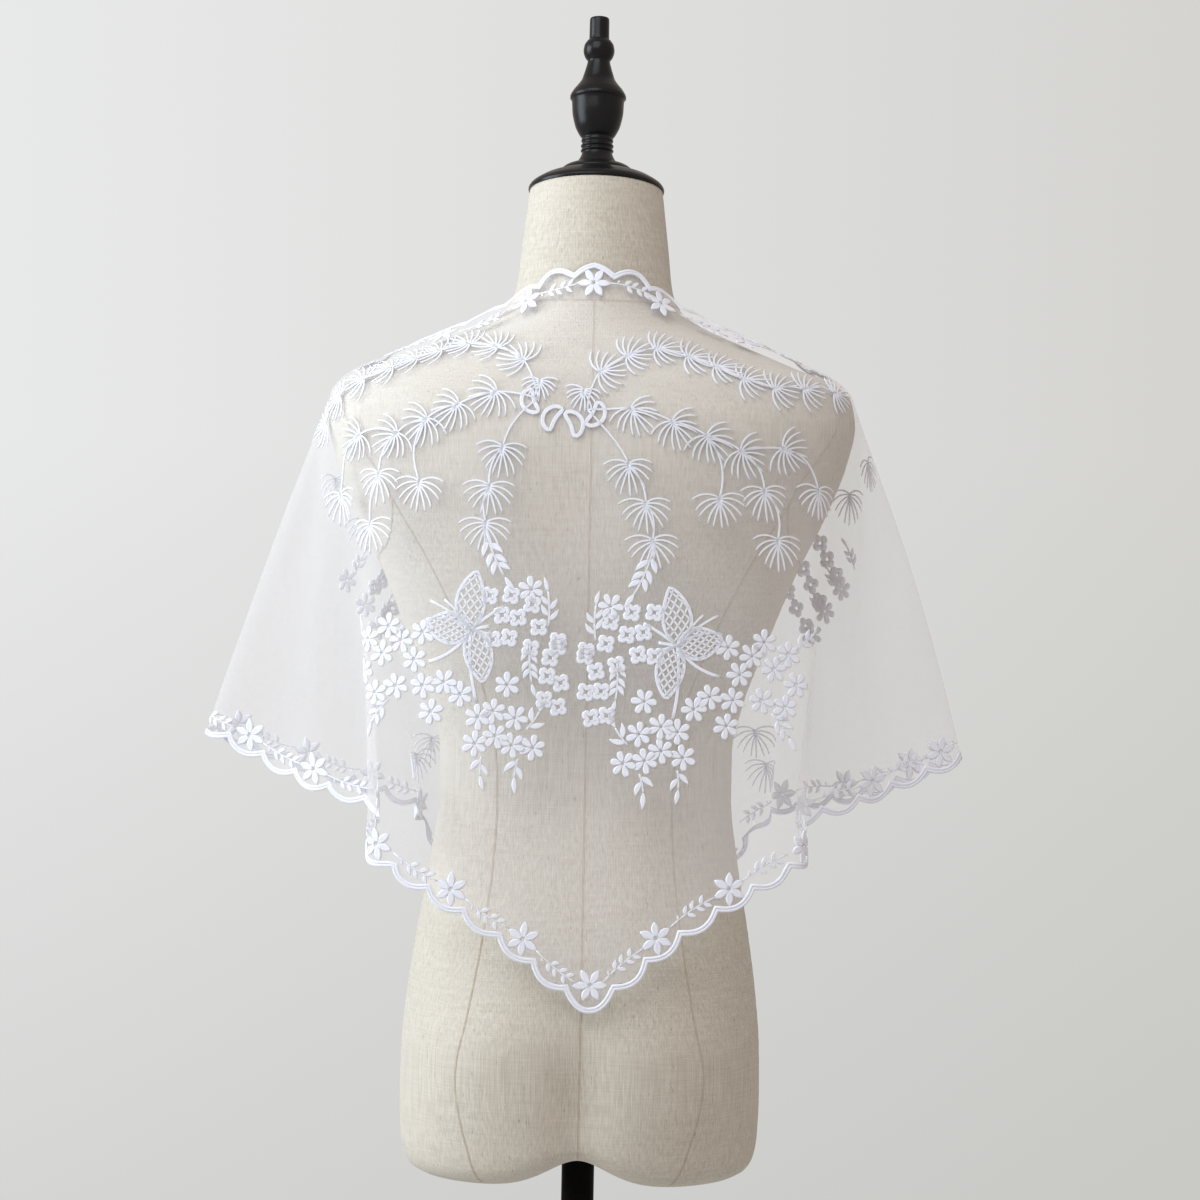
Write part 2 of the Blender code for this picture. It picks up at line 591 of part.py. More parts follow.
def add_trim(name, inner_line, outer_line, crest, middle, finish, parts):
    """A scalloped band from just off the net's edge out to the edge of the cloth."""
    width = SCALLOP_DEPTH + TRIM_WIDTH
    reached = reach_along(outer_line)
    marks, phases = scallop_marks(reached, reached[crest], middle)
    inner = np.stack([np.interp(marks, reached, inner_line[:, k]) for k in range(3)], axis=-1)
    outer = np.stack([np.interp(marks, reached, outer_line[:, k]) for k in range(3)], axis=-1)
    dip = SCALLOP_DEPTH * (1 - np.abs(np.cos(math.pi * phases)))
    across = outer - inner
    reach = np.linalg.norm(across, axis=-1)
    heading = np.gradient(outer, axis=0)
    squareness = np.linalg.norm(np.cross(across, heading), axis=-1)
    squareness = squareness / reach / np.linalg.norm(heading, axis=-1)
    gap = across * (SEAM_GAP / np.maximum(squareness, SHARPEST_CROSSING) / reach)[:, None]
    turned = np.linalg.norm(np.diff(inner, axis=0), axis=-1) < 0.0002
    corner = np.concatenate([[0], np.cumsum(~turned)])
    points, rim, edge = [], [], []
    for i in range(len(marks)):
        here = np.flatnonzero(corner == corner[i])
        if i > here[0]:
            rim.append(rim[-1])
        else:
            rim.append(len(points))
            points.append(inner[i] + sum(gap[k] for k in {here[0], here[-1]}))
        edge.append(len(points))
        points.append(outer[i] - across[i] * dip[i] / width)
    faces = []
    for i in range(len(marks) - 1):
        corners = (rim[i], edge[i], edge[i + 1], rim[i + 1])
        faces.append(tuple(dict.fromkeys(corners)))
    made = add_mesh(name, points, faces, finish, parts)
    return thicken(made, TRIM_THICKNESS)


def add_hem_trim(grid, finish, parts):
    """The trim along both sloping sides of the shawl, with a broad scallop at the back point."""
    inner, outer = grid[-2], grid[-1]
    return add_trim("hem_trim", inner, outer, len(inner) // 2, POINT_SCALLOP, finish, parts)


def add_top_trim(grid, finish, parts):
    """The trim along the shawl's long side, from tip to tip round the neck."""
    ends = []
    for column, beside in ((0, 1), (-1, -2)):
        corners = []
        for line in (beside, column):
            rise = grid[1, line] - grid[-2, line]
            corners.append(grid[-2, line] + rise * 2 * SEAM_GAP / np.linalg.norm(rise))
        ends.append(corners)
    (left_inner, left_outer), (right_inner, right_outer) = ends
    inner = np.array([left_inner, grid[1, 1], *grid[1, 1:-1], grid[1, -2], right_inner])
    outer = np.array([left_outer, *grid[0], right_outer])
    inner, outer = inner[::-1], outer[::-1]
    return add_trim("top_trim", inner, outer, len(inner) // 2, SCALLOP_LENGTH, finish, parts)


def add_shawl(parts):
    net = material("white_net", WHITE_NET, 0.6, alpha=0.45)
    embroidery = material("white_embroidery", WHITE_NET, 0.5)
    grid = cloth_grid(drape())
    add_net(grid, net, parts)
    add_hem_trim(grid, embroidery, parts)
    add_top_trim(grid, embroidery, parts)


def main():
    for leftover in list(bpy.data.objects):
        bpy.data.objects.remove(leftover)
    parts = bpy.data.collections.new("lace_shawl_on_dress_form")
    bpy.context.scene.collection.children.link(parts)
    add_torso(parts)
    add_neck_cap_and_finial(parts)
    add_pole_and_foot(parts)
    add_shawl(parts)


main()
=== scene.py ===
"""A white lace shawl over the shoulders of a linen-covered dress form, seen from the back.

The back of the form faces -Y and the floor is at z = 0. Sizes are in metres.
"""

import math

import bmesh
import bpy
import numpy as np
from mathutils import Matrix, Vector


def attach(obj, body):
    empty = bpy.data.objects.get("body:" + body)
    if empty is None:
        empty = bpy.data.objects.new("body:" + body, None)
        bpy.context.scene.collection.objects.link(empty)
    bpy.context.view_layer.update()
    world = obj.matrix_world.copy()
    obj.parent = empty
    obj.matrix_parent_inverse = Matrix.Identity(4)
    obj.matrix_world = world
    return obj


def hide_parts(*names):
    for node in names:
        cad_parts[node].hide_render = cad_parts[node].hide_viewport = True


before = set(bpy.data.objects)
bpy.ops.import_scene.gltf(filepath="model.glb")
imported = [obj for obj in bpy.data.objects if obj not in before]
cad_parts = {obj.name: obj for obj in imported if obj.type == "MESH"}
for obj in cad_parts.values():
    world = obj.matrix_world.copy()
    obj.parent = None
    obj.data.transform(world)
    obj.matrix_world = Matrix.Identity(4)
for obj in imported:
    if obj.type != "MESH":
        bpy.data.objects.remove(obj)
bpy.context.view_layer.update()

# The form and the drape, with the sizes of the solids.

TORSO_FOOT = 0.760
POLE_RADIUS = 0.0125
GAP = 0.0003
FOOT_RADIUS = 0.165
FOOT_THICKNESS = 0.012
HUB_RADIUS = 0.026
HUB_HEIGHT = 0.034
NECK_TOP = 0.746
NECK_TILT = math.radians(7.5)
TILT_STARTS = 0.640
UNDERSIDE_RISE = 0.004
ARCH_RISE = 0.020
ARCH_SPREAD = math.radians(20)
ARCH_FADES_AT = 0.085
CLOTH_LIFT = 0.0020
SCALLOP_LENGTH = 0.0315
SCALLOP_DEPTH = 0.0064
POINT_SCALLOP = 0.0530
POINT_EASE = 0.22
TAUT_PASSES = 110
TAUT_ABOVE = 0.500
TAUT_GAIN = 0.6
SHARPEST_CROSSING = 0.14
LEAVING_PULL = 0.22
HANGING_PULL = 0.42
LYING_STEPS = 25
FOLDS_START = 0.30
FOLDS_GROW_OVER = 0.55
RIPPLE_DEPTH = 0.0007
HANGING_STEPS = 40

BODY_COLUMNS = ("height", "half_width", "back", "front", "centre_y", "squareness")
BODY = (
    (-0.006, 0.1220, 0.0940, 0.0880, 0.000, 2.3),
    (-0.002, 0.1290, 0.1010, 0.0950, 0.000, 2.3),
    (0.006, 0.1340, 0.1060, 0.1000, 0.000, 2.3),
    (0.021, 0.1368, 0.1085, 0.1030, 0.000, 2.3),
    (0.050, 0.1378, 0.1100, 0.1050, 0.000, 2.3),
    (0.090, 0.1370, 0.1100, 0.1060, 0.000, 2.3),
    (0.130, 0.1335, 0.1050, 0.1060, 0.000, 2.3),
    (0.180, 0.1264, 0.0950, 0.1030, 0.000, 2.3),
    (0.230, 0.1180, 0.0840, 0.0970, 0.000, 2.3),
    (0.280, 0.1122, 0.0760, 0.0910, 0.000, 2.3),
    (0.315, 0.1122, 0.0740, 0.0890, 0.000, 2.3),
    (0.350, 0.1196, 0.0760, 0.0920, 0.000, 2.3),
    (0.400, 0.1380, 0.0840, 0.1000, 0.000, 2.35),
    (0.450, 0.1580, 0.0920, 0.1060, 0.000, 2.4),
    (0.500, 0.1820, 0.0980, 0.1060, 0.000, 2.5),
    (0.540, 0.1970, 0.1010, 0.0990, 0.000, 2.5),
    (0.565, 0.2020, 0.0990, 0.0920, 0.000, 2.5),
    (0.585, 0.1990, 0.0940, 0.0840, 0.000, 2.4),
    (0.598, 0.1860, 0.0890, 0.0780, 0.000, 2.3),
    (0.609, 0.1580, 0.0820, 0.0720, 0.000, 2.2),
    (0.626, 0.1170, 0.0720, 0.0660, 0.001, 2.1),
    (0.640, 0.0850, 0.0650, 0.0620, 0.002, 2.0),
    (0.652, 0.0677, 0.0610, 0.0600, 0.003, 2.0),
    (0.668, 0.0604, 0.0580, 0.0585, 0.005, 2.0),
    (0.700, 0.0568, 0.0560, 0.0570, 0.011, 2.0),
    (0.746, 0.0516, 0.0516, 0.0516, 0.019, 2.0),
)

# Soft rises and hollows of the torso: angle from the back, height, spread in degrees and in height, rise.
LOBES = (
    (-36, 0.085, 25, 0.060, 0.0100),
    (36, 0.085, 25, 0.060, 0.0100),
    (0, 0.040, 11, 0.060, -0.0090),
    (-148, 0.497, 21, 0.046, 0.0170),
    (148, 0.497, 21, 0.046, 0.0170),
    (-35, 0.545, 28, 0.060, 0.0035),
    (35, 0.545, 28, 0.060, 0.0035),
)

# One row for each section of the drape, from the middle of the back round to the tip in front.
FOLD_COLUMNS = (
    "section", "edge_deg", "edge_height", "edge_lift", "leave_deg", "leave_height", "leave_lift",
    "hem_x", "hem_y", "hem_height", "plumb",
)
RIGHT_FOLDS = (
    ("back middle", 0, 0.681, 0.0020, 0, 0.545, 0.0014, 0.007, -0.1190, 0.1200, 0.9),
    ("back quarter", 30, 0.677, 0.0024, 36, 0.550, 0.0014, 0.083, -0.1200, 0.1840, 0.9),
    ("back edge", 58, 0.661, 0.0045, 64, 0.560, 0.0014, 0.150, -0.1090, 0.2270, 0.9),
    ("back fold", 74, 0.643, 0.0070, 73, 0.562, 0.0014, 0.1645, -0.0940, 0.2390, 0.9),
    ("behind the arm", 83, 0.627, 0.0070, 78, 0.568, 0.0014, 0.1590, -0.0560, 0.2560, 0.7),
    ("rear of the wing", 89, 0.614, 0.0045, 84, 0.578, 0.0014, 0.218, -0.0310, 0.2780, 0.5),
    ("wing tip fold", 98, 0.604, 0.0030, 90, 0.585, 0.0014, 0.2905, 0.0020, 0.3080, 0.35),
    ("front of the wing", 107, 0.596, 0.0025, 98, 0.580, 0.0014, 0.223, 0.0520, 0.2760, 0.5),
    ("before the arm", 114, 0.582, 0.0022, 107, 0.566, 0.0014, 0.172, 0.0900, 0.2640, 0.7),
    ("front fold", 120, 0.554, 0.0022, 114, 0.544, 0.0014, 0.1475, 0.1060, 0.2560, 0.9),
    ("front step", 130.5, 0.462, 0.0200, 130.0, 0.450, 0.0215, 0.1390, 0.1260, 0.2430, 0.6),
    ("front panel", 144.5, 0.318, 0.0640, 143.4, 0.307, 0.0645, 0.1240, 0.1370, 0.2150, 0.3),
    ("front tip", 156.0, 0.192, 0.0580, 155.0, 0.1905, 0.0590, 0.0970, 0.1470, 0.1770, 0.0),
)
# The left side lies on the torso as the right one does, but has a hem and a tip of its own.
LEFT_HEM = (
    (-0.007, -0.1190, 0.1200, 0.9), (0.072, -0.1200, 0.1810, 0.9), (0.143, -0.1090, 0.2250, 0.9),
    (0.1585, -0.0940, 0.2370, 0.9), (0.1530, -0.0560, 0.2600, 0.7), (0.220, -0.0290, 0.2850, 0.5),
    (0.2930, 0.0000, 0.3210, 0.15), (0.218, 0.0500, 0.2880, 0.4), (0.160, 0.0880, 0.2670, 0.5),
    (0.1300, 0.1090, 0.2530, 0.6), (0.1300, 0.1280, 0.2420, 0.6), (0.1190, 0.1390, 0.2150, 0.3),
)
LEFT_FOLDS = (
    *[row[:7] + hem for row, hem in zip(RIGHT_FOLDS, LEFT_HEM)],
    ("front tip", 156.0, 0.195, 0.0580, 155.0, 0.1935, 0.0590, 0.0960, 0.1480, 0.1800, 0.0),
)
FOLDS_A_SIDE = len(RIGHT_FOLDS) - 1

CAP_PROFILE = (
    (0.0525, 0.0000), (0.0527, 0.0020), (0.0505, 0.0052), (0.0430, 0.0100), (0.0350, 0.0132),
    (0.0292, 0.0150), (0.0284, 0.0166), (0.0250, 0.0194), (0.0200, 0.0214), (0.0165, 0.0222),
)
FINIAL_PROFILE = (
    (0.0158, 0.0225), (0.0150, 0.0240), (0.0130, 0.0275), (0.0117, 0.0310), (0.0128, 0.0327),
    (0.0117, 0.0346), (0.0128, 0.0366), (0.0116, 0.0386), (0.0125, 0.0408), (0.0120, 0.0428),
    (0.0140, 0.0455), (0.0173, 0.0520), (0.0197, 0.0620), (0.0204, 0.0728), (0.0217, 0.0746),
    (0.0217, 0.0768), (0.0206, 0.0790), (0.0190, 0.0816), (0.0164, 0.0848), (0.0131, 0.0895),
    (0.0109, 0.0960), (0.0092, 0.1020), (0.0088, 0.1050), (0.0106, 0.1076), (0.0119, 0.1110),
    (0.0121, 0.1140), (0.0113, 0.1180), (0.0092, 0.1212), (0.0078, 0.1228), (0.0076, 0.1380),
    (0.0066, 0.1396),
)

# Where the picture is seen from.
EYE = (0.0088, -2.4, 1.19)
LENS = 93.5
PICTURE_LEAN = math.radians(1.08)

# How finely the pieces are drawn.
TORSO_SIDES = 200
TORSO_RINGS = 230
CLOSE_RINGS = 30
CLOSE_RINGS_BELOW = 0.05
SOLE_SHARES = (0.02, 0.30, 0.50, 0.72, 0.88)
SOLE_ROUNDING = 0.70
CROWN_SHARES = (0.6, 0.02)
PROFILE_PULL = 0.7
EDGE_STEPS = 2400
TURNED_SIDES = 72
DRAPE_SECTIONS = 20
DRAPE_SHARES = 150
SLOPE_SECTION = 0.08
SLOPE_SHARE = 0.008
NET_COLUMNS = 480
NET_ROWS = 100
NET_TUCK = 0.25
BAND_WIDTH = 0.0045
BAND_HEIGHT = 0.0008
BAND_SECTION = (
    (-0.5, 0.0), (-0.42, 0.70), (-0.24, 1.0), (-0.07, 0.80), (0.0, 0.30), (0.07, 0.80), (0.24, 1.0),
    (0.42, 0.70), (0.5, 0.0),
)
POINTS_PER_HALF = 10


def unit(vectors):
    """Vectors of the same directions and a length of one."""
    return vectors / np.linalg.norm(vectors, axis=-1, keepdims=True)


def dot(first, second):
    return (first * second).sum(axis=-1, keepdims=True)


def hermite(t, start, end, leave, arrive):
    """A smooth step from start to end that leaves and arrives with the given slopes."""
    near = (2 * t**3 - 3 * t**2 + 1) * start + (t**3 - 2 * t**2 + t) * leave
    return near + (3 * t**2 - 2 * t**3) * end + (t**3 - t**2) * arrive


def monotone(knots, values):
    """A smooth curve through the given points that never swings past them."""
    knots = np.asarray(knots, float)
    values = np.asarray(values, float)
    step = np.diff(knots)
    slope = np.diff(values) / step
    tangent = np.zeros_like(values)
    tangent[0], tangent[-1] = slope[0], slope[-1]
    before, after = slope[:-1], slope[1:]
    turning = before * after <= 0
    weight_a = 2 * step[1:] + step[:-1]
    weight_b = step[1:] + 2 * step[:-1]
    safe_before = np.where(turning, 1.0, before)
    safe_after = np.where(turning, 1.0, after)
    mean = (weight_a + weight_b) / (weight_a / safe_before + weight_b / safe_after)
    tangent[1:-1] = np.where(turning, 0.0, mean)

    def curve(at):
        at = np.clip(at, knots[0], knots[-1])
        i = np.clip(np.searchsorted(knots, at, side="right") - 1, 0, len(step) - 1)
        t = (at - knots[i]) / step[i]
        return hermite(t, values[i], values[i + 1], step[i] * tangent[i], step[i] * tangent[i + 1])

    return curve


def curves_of(rows, columns, knots=None):
    """One smooth curve for each numeric column of a table, by name."""
    numbers = [[v for v in row if not isinstance(v, str)] for row in rows]
    names = columns[len(columns) - len(numbers[0]):]
    if knots is None:
        knots = [row[0] for row in numbers]
    return {name: monotone(knots, [row[i] for row in numbers]) for i, name in enumerate(names)}


def smooth_step(t):
    t = np.clip(t, 0, 1)
    return t * t * (3 - 2 * t)


BODY_CURVES = curves_of(BODY, BODY_COLUMNS)
SECTIONS = np.arange(FOLDS_A_SIDE + 1)
SIDE_CURVES = {
    1: curves_of(RIGHT_FOLDS, FOLD_COLUMNS, SECTIONS),
    -1: curves_of(LEFT_FOLDS, FOLD_COLUMNS, SECTIONS),
}


def body_radius(angle, height):
    """How far the torso reaches from its centre line, at an angle from the back."""
    c = {name: curve(height) for name, curve in BODY_CURVES.items() if name != "height"}
    depth = np.where(np.cos(angle) > 0, c["back"], c["front"])
    power = c["squareness"]
    across = (np.abs(np.sin(angle)) / c["half_width"]) ** power
    along = (np.abs(np.cos(angle)) / depth) ** power
    radius = (across + along) ** (-1 / power)
    for lobe_deg, lobe_height, spread_deg, spread_height, rise in LOBES:
        turn = np.mod(angle - math.radians(lobe_deg) + math.pi, 2 * math.pi) - math.pi
        falloff = (turn / math.radians(spread_deg)) ** 2 + ((height - lobe_height) / spread_height) ** 2
        radius = radius + rise * np.exp(-falloff)
    return radius


def neck_slope(height):
    """How much the torso's levels tip back, which begins under the neck."""
    return smooth_step((height - TILT_STARTS) / (NECK_TOP - TILT_STARTS)) * math.tan(NECK_TILT)


def body_point(angle, height):
    """A point on the torso, in metres above the floor."""
    angle, height = np.broadcast_arrays(np.asarray(angle, float), np.asarray(height, float))
    radius = body_radius(angle, height)
    x = radius * np.sin(angle)
    across = -radius * np.cos(angle)
    arch = np.exp(-((np.sin(angle) / math.sin(ARCH_SPREAD)) ** 2)) * ARCH_RISE
    arch = arch * np.clip(1 - height / ARCH_FADES_AT, 0, 1) ** 2
    z = TORSO_FOOT + height + arch - across * neck_slope(height)
    return np.stack([x, across + BODY_CURVES["centre_y"](height), z], axis=-1)


def body_normal(angle, height):
    """The direction that points straight out of the torso."""
    turn, climb = 0.01, 0.001
    round_it = body_point(angle + turn, height) - body_point(angle - turn, height)
    up_it = body_point(angle, height + climb) - body_point(angle, height - climb)
    return unit(np.cross(round_it, up_it))


def over_body(angle, height, lift):
    return body_point(angle, height) + body_normal(angle, height) * np.asarray(lift)[..., None]


def hanging_curve(leave, heading, hem, plumb, steps):
    """From where the cloth leaves the torso to the hem, as smooth as it left and plumb as it ends."""
    fall = hem - leave
    length = np.linalg.norm(fall)
    up = np.array([0.0, 0.0, 1.0])
    arrive = -fall / length * (1 - plumb) + up * plumb
    first = leave + heading * length * LEAVING_PULL
    second = hem + unit(arrive) * length * HANGING_PULL
    t = np.linspace(0, 1, steps + 1)[1:, None]
    bend = 3 * (1 - t) ** 2 * t * first + 3 * (1 - t) * t**2 * second
    return (1 - t) ** 3 * leave + bend + t**3 * hem


def outside_body(points):
    """How far outside the torso points are, measured straight from its centre line."""
    height = points[..., 2] - TORSO_FOOT
    for _ in range(3):
        across = points[..., 1] - BODY_CURVES["centre_y"](height)
        height = points[..., 2] - TORSO_FOOT + across * neck_slope(height)
    angle = np.arctan2(points[..., 0], -across)
    return np.hypot(points[..., 0], across) - body_radius(angle, height)


def off_body(points):
    """Nearly how far points stand off the torso's surface, and which way leads straight off it."""
    step = 0.0005
    slope = np.empty_like(points)
    for k in range(3):
        nudge = np.zeros(3)
        nudge[k] = step
        slope[..., k] = (outside_body(points + nudge) - outside_body(points - nudge)) / (2 * step)
    steepness = np.linalg.norm(slope, axis=-1)
    return outside_body(points) / steepness, slope / steepness[..., None]


def pulled_taut(points):
    """Lets cloth that lies on the torso bridge its hollows instead of following them."""
    taut = points.copy()
    lying = points[..., 2] > TORSO_FOOT + TAUT_ABOVE
    _, normal = off_body(points)
    for _ in range(TAUT_PASSES):
        for axis in (0, 1):
            moved = np.moveaxis(taut, axis, 0)
            out = np.moveaxis(normal, axis, 0)[1:-1]
            sag = (moved[:-2] + moved[2:]) / 2 - moved[1:-1]
            rise = np.maximum((sag * out).sum(axis=-1), 0) * np.moveaxis(lying, axis, 0)[1:-1]
            moved[1:-1] += out * rise[..., None] * TAUT_GAIN
    return taut


def kept_off_body(points, lift):
    """Moves points that the torso would touch straight off it."""
    for _ in range(3):
        distance, normal = off_body(points)
        points = points + normal * np.maximum(lift - distance, 0)[..., None]
    return points


def eased_section(section):
    """The section that sets the hem's height, eased so that the point of the shawl is round."""
    away = abs(section)
    return away if away > POINT_EASE else POINT_EASE / 2 * (1 + (away / POINT_EASE) ** 2)


def cloth_column(section):
    """The path of the cloth from the long edge to the hem, at one section of the drape."""
    side = 1 if section >= 0 else -1
    c = {name: curve(abs(section)) for name, curve in SIDE_CURVES[side].items()}
    c["hem_height"] = SIDE_CURVES[side]["hem_height"](eased_section(section))
    share = np.linspace(0, 1, LYING_STEPS)
    angle = np.radians(c["edge_deg"] + (c["leave_deg"] - c["edge_deg"]) * share**0.8) * side
    height = c["edge_height"] + (c["leave_height"] - c["edge_height"]) * share
    lift = c["edge_lift"] + (c["leave_lift"] - c["edge_lift"]) * share
    lying = over_body(angle, height, lift)
    heading = unit(lying[-1] - lying[-2])
    hem = np.array([side * c["hem_x"], c["hem_y"], TORSO_FOOT + c["hem_height"]])
    hanging = hanging_curve(lying[-1], heading, hem, c["plumb"], HANGING_STEPS)
    return np.vstack([lying, hanging])


def reach_along(path):
    """How far along a line of points each of them is."""
    return np.concatenate([[0], np.cumsum(np.linalg.norm(np.diff(path, axis=0), axis=1))])


class Cloth:
    """The whole drape as a fine table of points, by section and by share of the way to the hem."""

    def __init__(self):
        self.sections = np.linspace(-FOLDS_A_SIDE, FOLDS_A_SIDE, 2 * FOLDS_A_SIDE * DRAPE_SECTIONS + 1)
        self.shares = np.linspace(0, 1, DRAPE_SHARES + 1)
        points = np.empty((len(self.sections), len(self.shares), 3))
        for i, section in enumerate(self.sections):
            path = cloth_column(section)
            reached = reach_along(path)
            for k in range(3):
                points[i, :, k] = np.interp(self.shares * reached[-1], reached, path[:, k])
        points = kept_off_body(pulled_taut(kept_off_body(points, CLOTH_LIFT)), CLOTH_LIFT)
        self.points = points
        self.points = kept_off_body(points + self.soft_folds(), CLOTH_LIFT)
        self.normals = self.surface_normals()
        self.lengths = np.linalg.norm(np.diff(self.points, axis=1), axis=-1).sum(axis=1)

    def surface_normals(self):
        normal = np.cross(np.gradient(self.points, axis=1), np.gradient(self.points, axis=0))
        return normal / np.maximum(np.linalg.norm(normal, axis=-1, keepdims=True), 1e-12)

    def soft_folds(self):
        """Shallow uneven troughs and ridges that run down the cloth and deepen where it hangs."""
        normal = self.surface_normals()
        section = self.sections[:, None]
        share = self.shares[None, :]
        hanging = smooth_step((share - FOLDS_START) / FOLDS_GROW_OVER)
        wave = np.zeros((len(self.sections), len(self.shares)))
        for centre, width, depth, lean in SOFT_FOLDS:
            away = (section - centre - lean * (share - 1)) / width
            wave = wave + depth * np.exp(-(away**2)) * hanging
        ripple = RIPPLE_DEPTH * np.sin(section * 3.1 + 2.0 * share) * np.sin(share * 7.0 + section)
        return normal * (wave + ripple * hanging)[..., None]

    def lookup(self, table, section, share):
        section, share = np.broadcast_arrays(np.asarray(section, float), np.asarray(share, float))
        u = (section - self.sections[0]) / (self.sections[-1] - self.sections[0])
        u = np.clip(u, 0, 1) * (len(self.sections) - 1)
        v = np.clip(share, 0, 1) * (len(self.shares) - 1)
        i = np.clip(np.floor(u).astype(int), 0, len(self.sections) - 2)
        j = np.clip(np.floor(v).astype(int), 0, len(self.shares) - 2)
        p, q = (u - i)[..., None], (v - j)[..., None]
        near = table[i, j] * (1 - q) + table[i, j + 1] * q
        far = table[i + 1, j] * (1 - q) + table[i + 1, j + 1] * q
        return near * (1 - p) + far * p

    def at(self, section, share, height=0.0):
        """Points of the cloth, or of what stands that high on it."""
        point = self.lookup(self.points, section, share)
        normal = unit(self.lookup(self.normals, section, share))
        return point + normal * np.asarray(height)[..., None]

    def length(self, section):
        return np.interp(section, self.sections, self.lengths)

    def slopes(self, section, share):
        """How the cloth's points move as section and share grow."""
        low = np.clip(section - SLOPE_SECTION, -FOLDS_A_SIDE, FOLDS_A_SIDE)
        high = np.clip(section + SLOPE_SECTION, -FOLDS_A_SIDE, FOLDS_A_SIDE)
        across = (self.at(high, share) - self.at(low, share)) / np.asarray(high - low)[..., None]
        upper, lower = np.clip(share - SLOPE_SHARE, 0, 1), np.clip(share + SLOPE_SHARE, 0, 1)
        down = self.at(section, lower) - self.at(section, upper)
        return across, down / np.asarray(lower - upper)[..., None]

    def inset_along(self, section, share, width):
        """How far to go along a section to stand that width in from the edge it crosses."""
        across, down = self.slopes(section, share)
        sharpness = np.linalg.norm(np.cross(across, down), axis=-1)
        sharpness = sharpness / np.linalg.norm(across, axis=-1) / np.linalg.norm(down, axis=-1)
        return width / np.maximum(sharpness, SHARPEST_CROSSING)


# Shallow folds between the main ones: the section they lie on, how wide, how deep, and how they lean.
SOFT_FOLDS = (
    (2.35, 0.40, 0.0040, 0.3),
    (-2.45, 0.45, 0.0036, -0.3),
    (5.35, 0.35, -0.0045, 0.4),
    (-5.40, 0.40, -0.0040, -0.2),
    (7.30, 0.45, -0.0050, 0.5),
    (-7.25, 0.50, -0.0060, -0.4),
    (9.40, 0.40, 0.0050, 0.3),
    (-9.20, 0.45, 0.0060, -0.3),
    (1.20, 0.70, -0.0016, 0.2),
    (-1.10, 0.60, -0.0014, -0.3),
)


def linked(name, data):
    """A new object of the given data, put into the scene."""
    made = bpy.data.objects.new(name, data)
    bpy.context.scene.collection.objects.link(made)
    return made


def mesh_object(name, points, faces, finish, uv=None):
    """A smooth object of the given points and faces, with its finish and optional thread places."""
    mesh = bpy.data.meshes.new(name)
    faces = faces if isinstance(faces, list) else faces.tolist()
    mesh.from_pydata(points.tolist(), [], faces)
    mesh.shade_smooth()
    if uv is not None:
        layer = mesh.uv_layers.new(name="stitch")
        loops = np.empty(len(mesh.loops), dtype=np.int32)
        mesh.loops.foreach_get("vertex_index", loops)
        layer.data.foreach_set("uv", np.asarray(uv, dtype=np.float32)[loops].ravel())
    mesh.materials.append(finish)
    return linked(name, mesh)


def grid_faces(rows, columns, closed=False):
    """Quads between the rows of a grid, joined round where it is closed."""
    last = columns if closed else columns - 1
    row, column = np.meshgrid(np.arange(rows - 1), np.arange(last), indexing="ij")
    after = (column + 1) % columns
    low, high = row * columns, (row + 1) * columns
    return np.stack([low + column, low + after, high + after, high + column], axis=-1).reshape(-1, 4)


def capped_faces(rows, sides):
    """Quads round a closed form, and a face over each of its ends."""
    ring = np.arange(sides)
    around = grid_faces(rows, sides, closed=True).tolist()
    return [*around, ring[::-1].tolist(), (ring + (rows - 1) * sides).tolist()]


# Finishes.

NET_COVER = 0.22
NET_COLOUR = (0.875, 0.865, 0.915)
LINEN_LIGHT = (0.62, 0.583, 0.520)
LINEN_DARK = (0.46, 0.423, 0.365)
SEAM_LIGHT = (0.54, 0.48, 0.40)
SEAM_DARK = (0.42, 0.36, 0.29)
EMBROIDERY = (0.84, 0.87, 1.0)
BLACK_WOOD = (0.005, 0.005, 0.006)
BLACK_METAL = (0.002, 0.002, 0.0024)


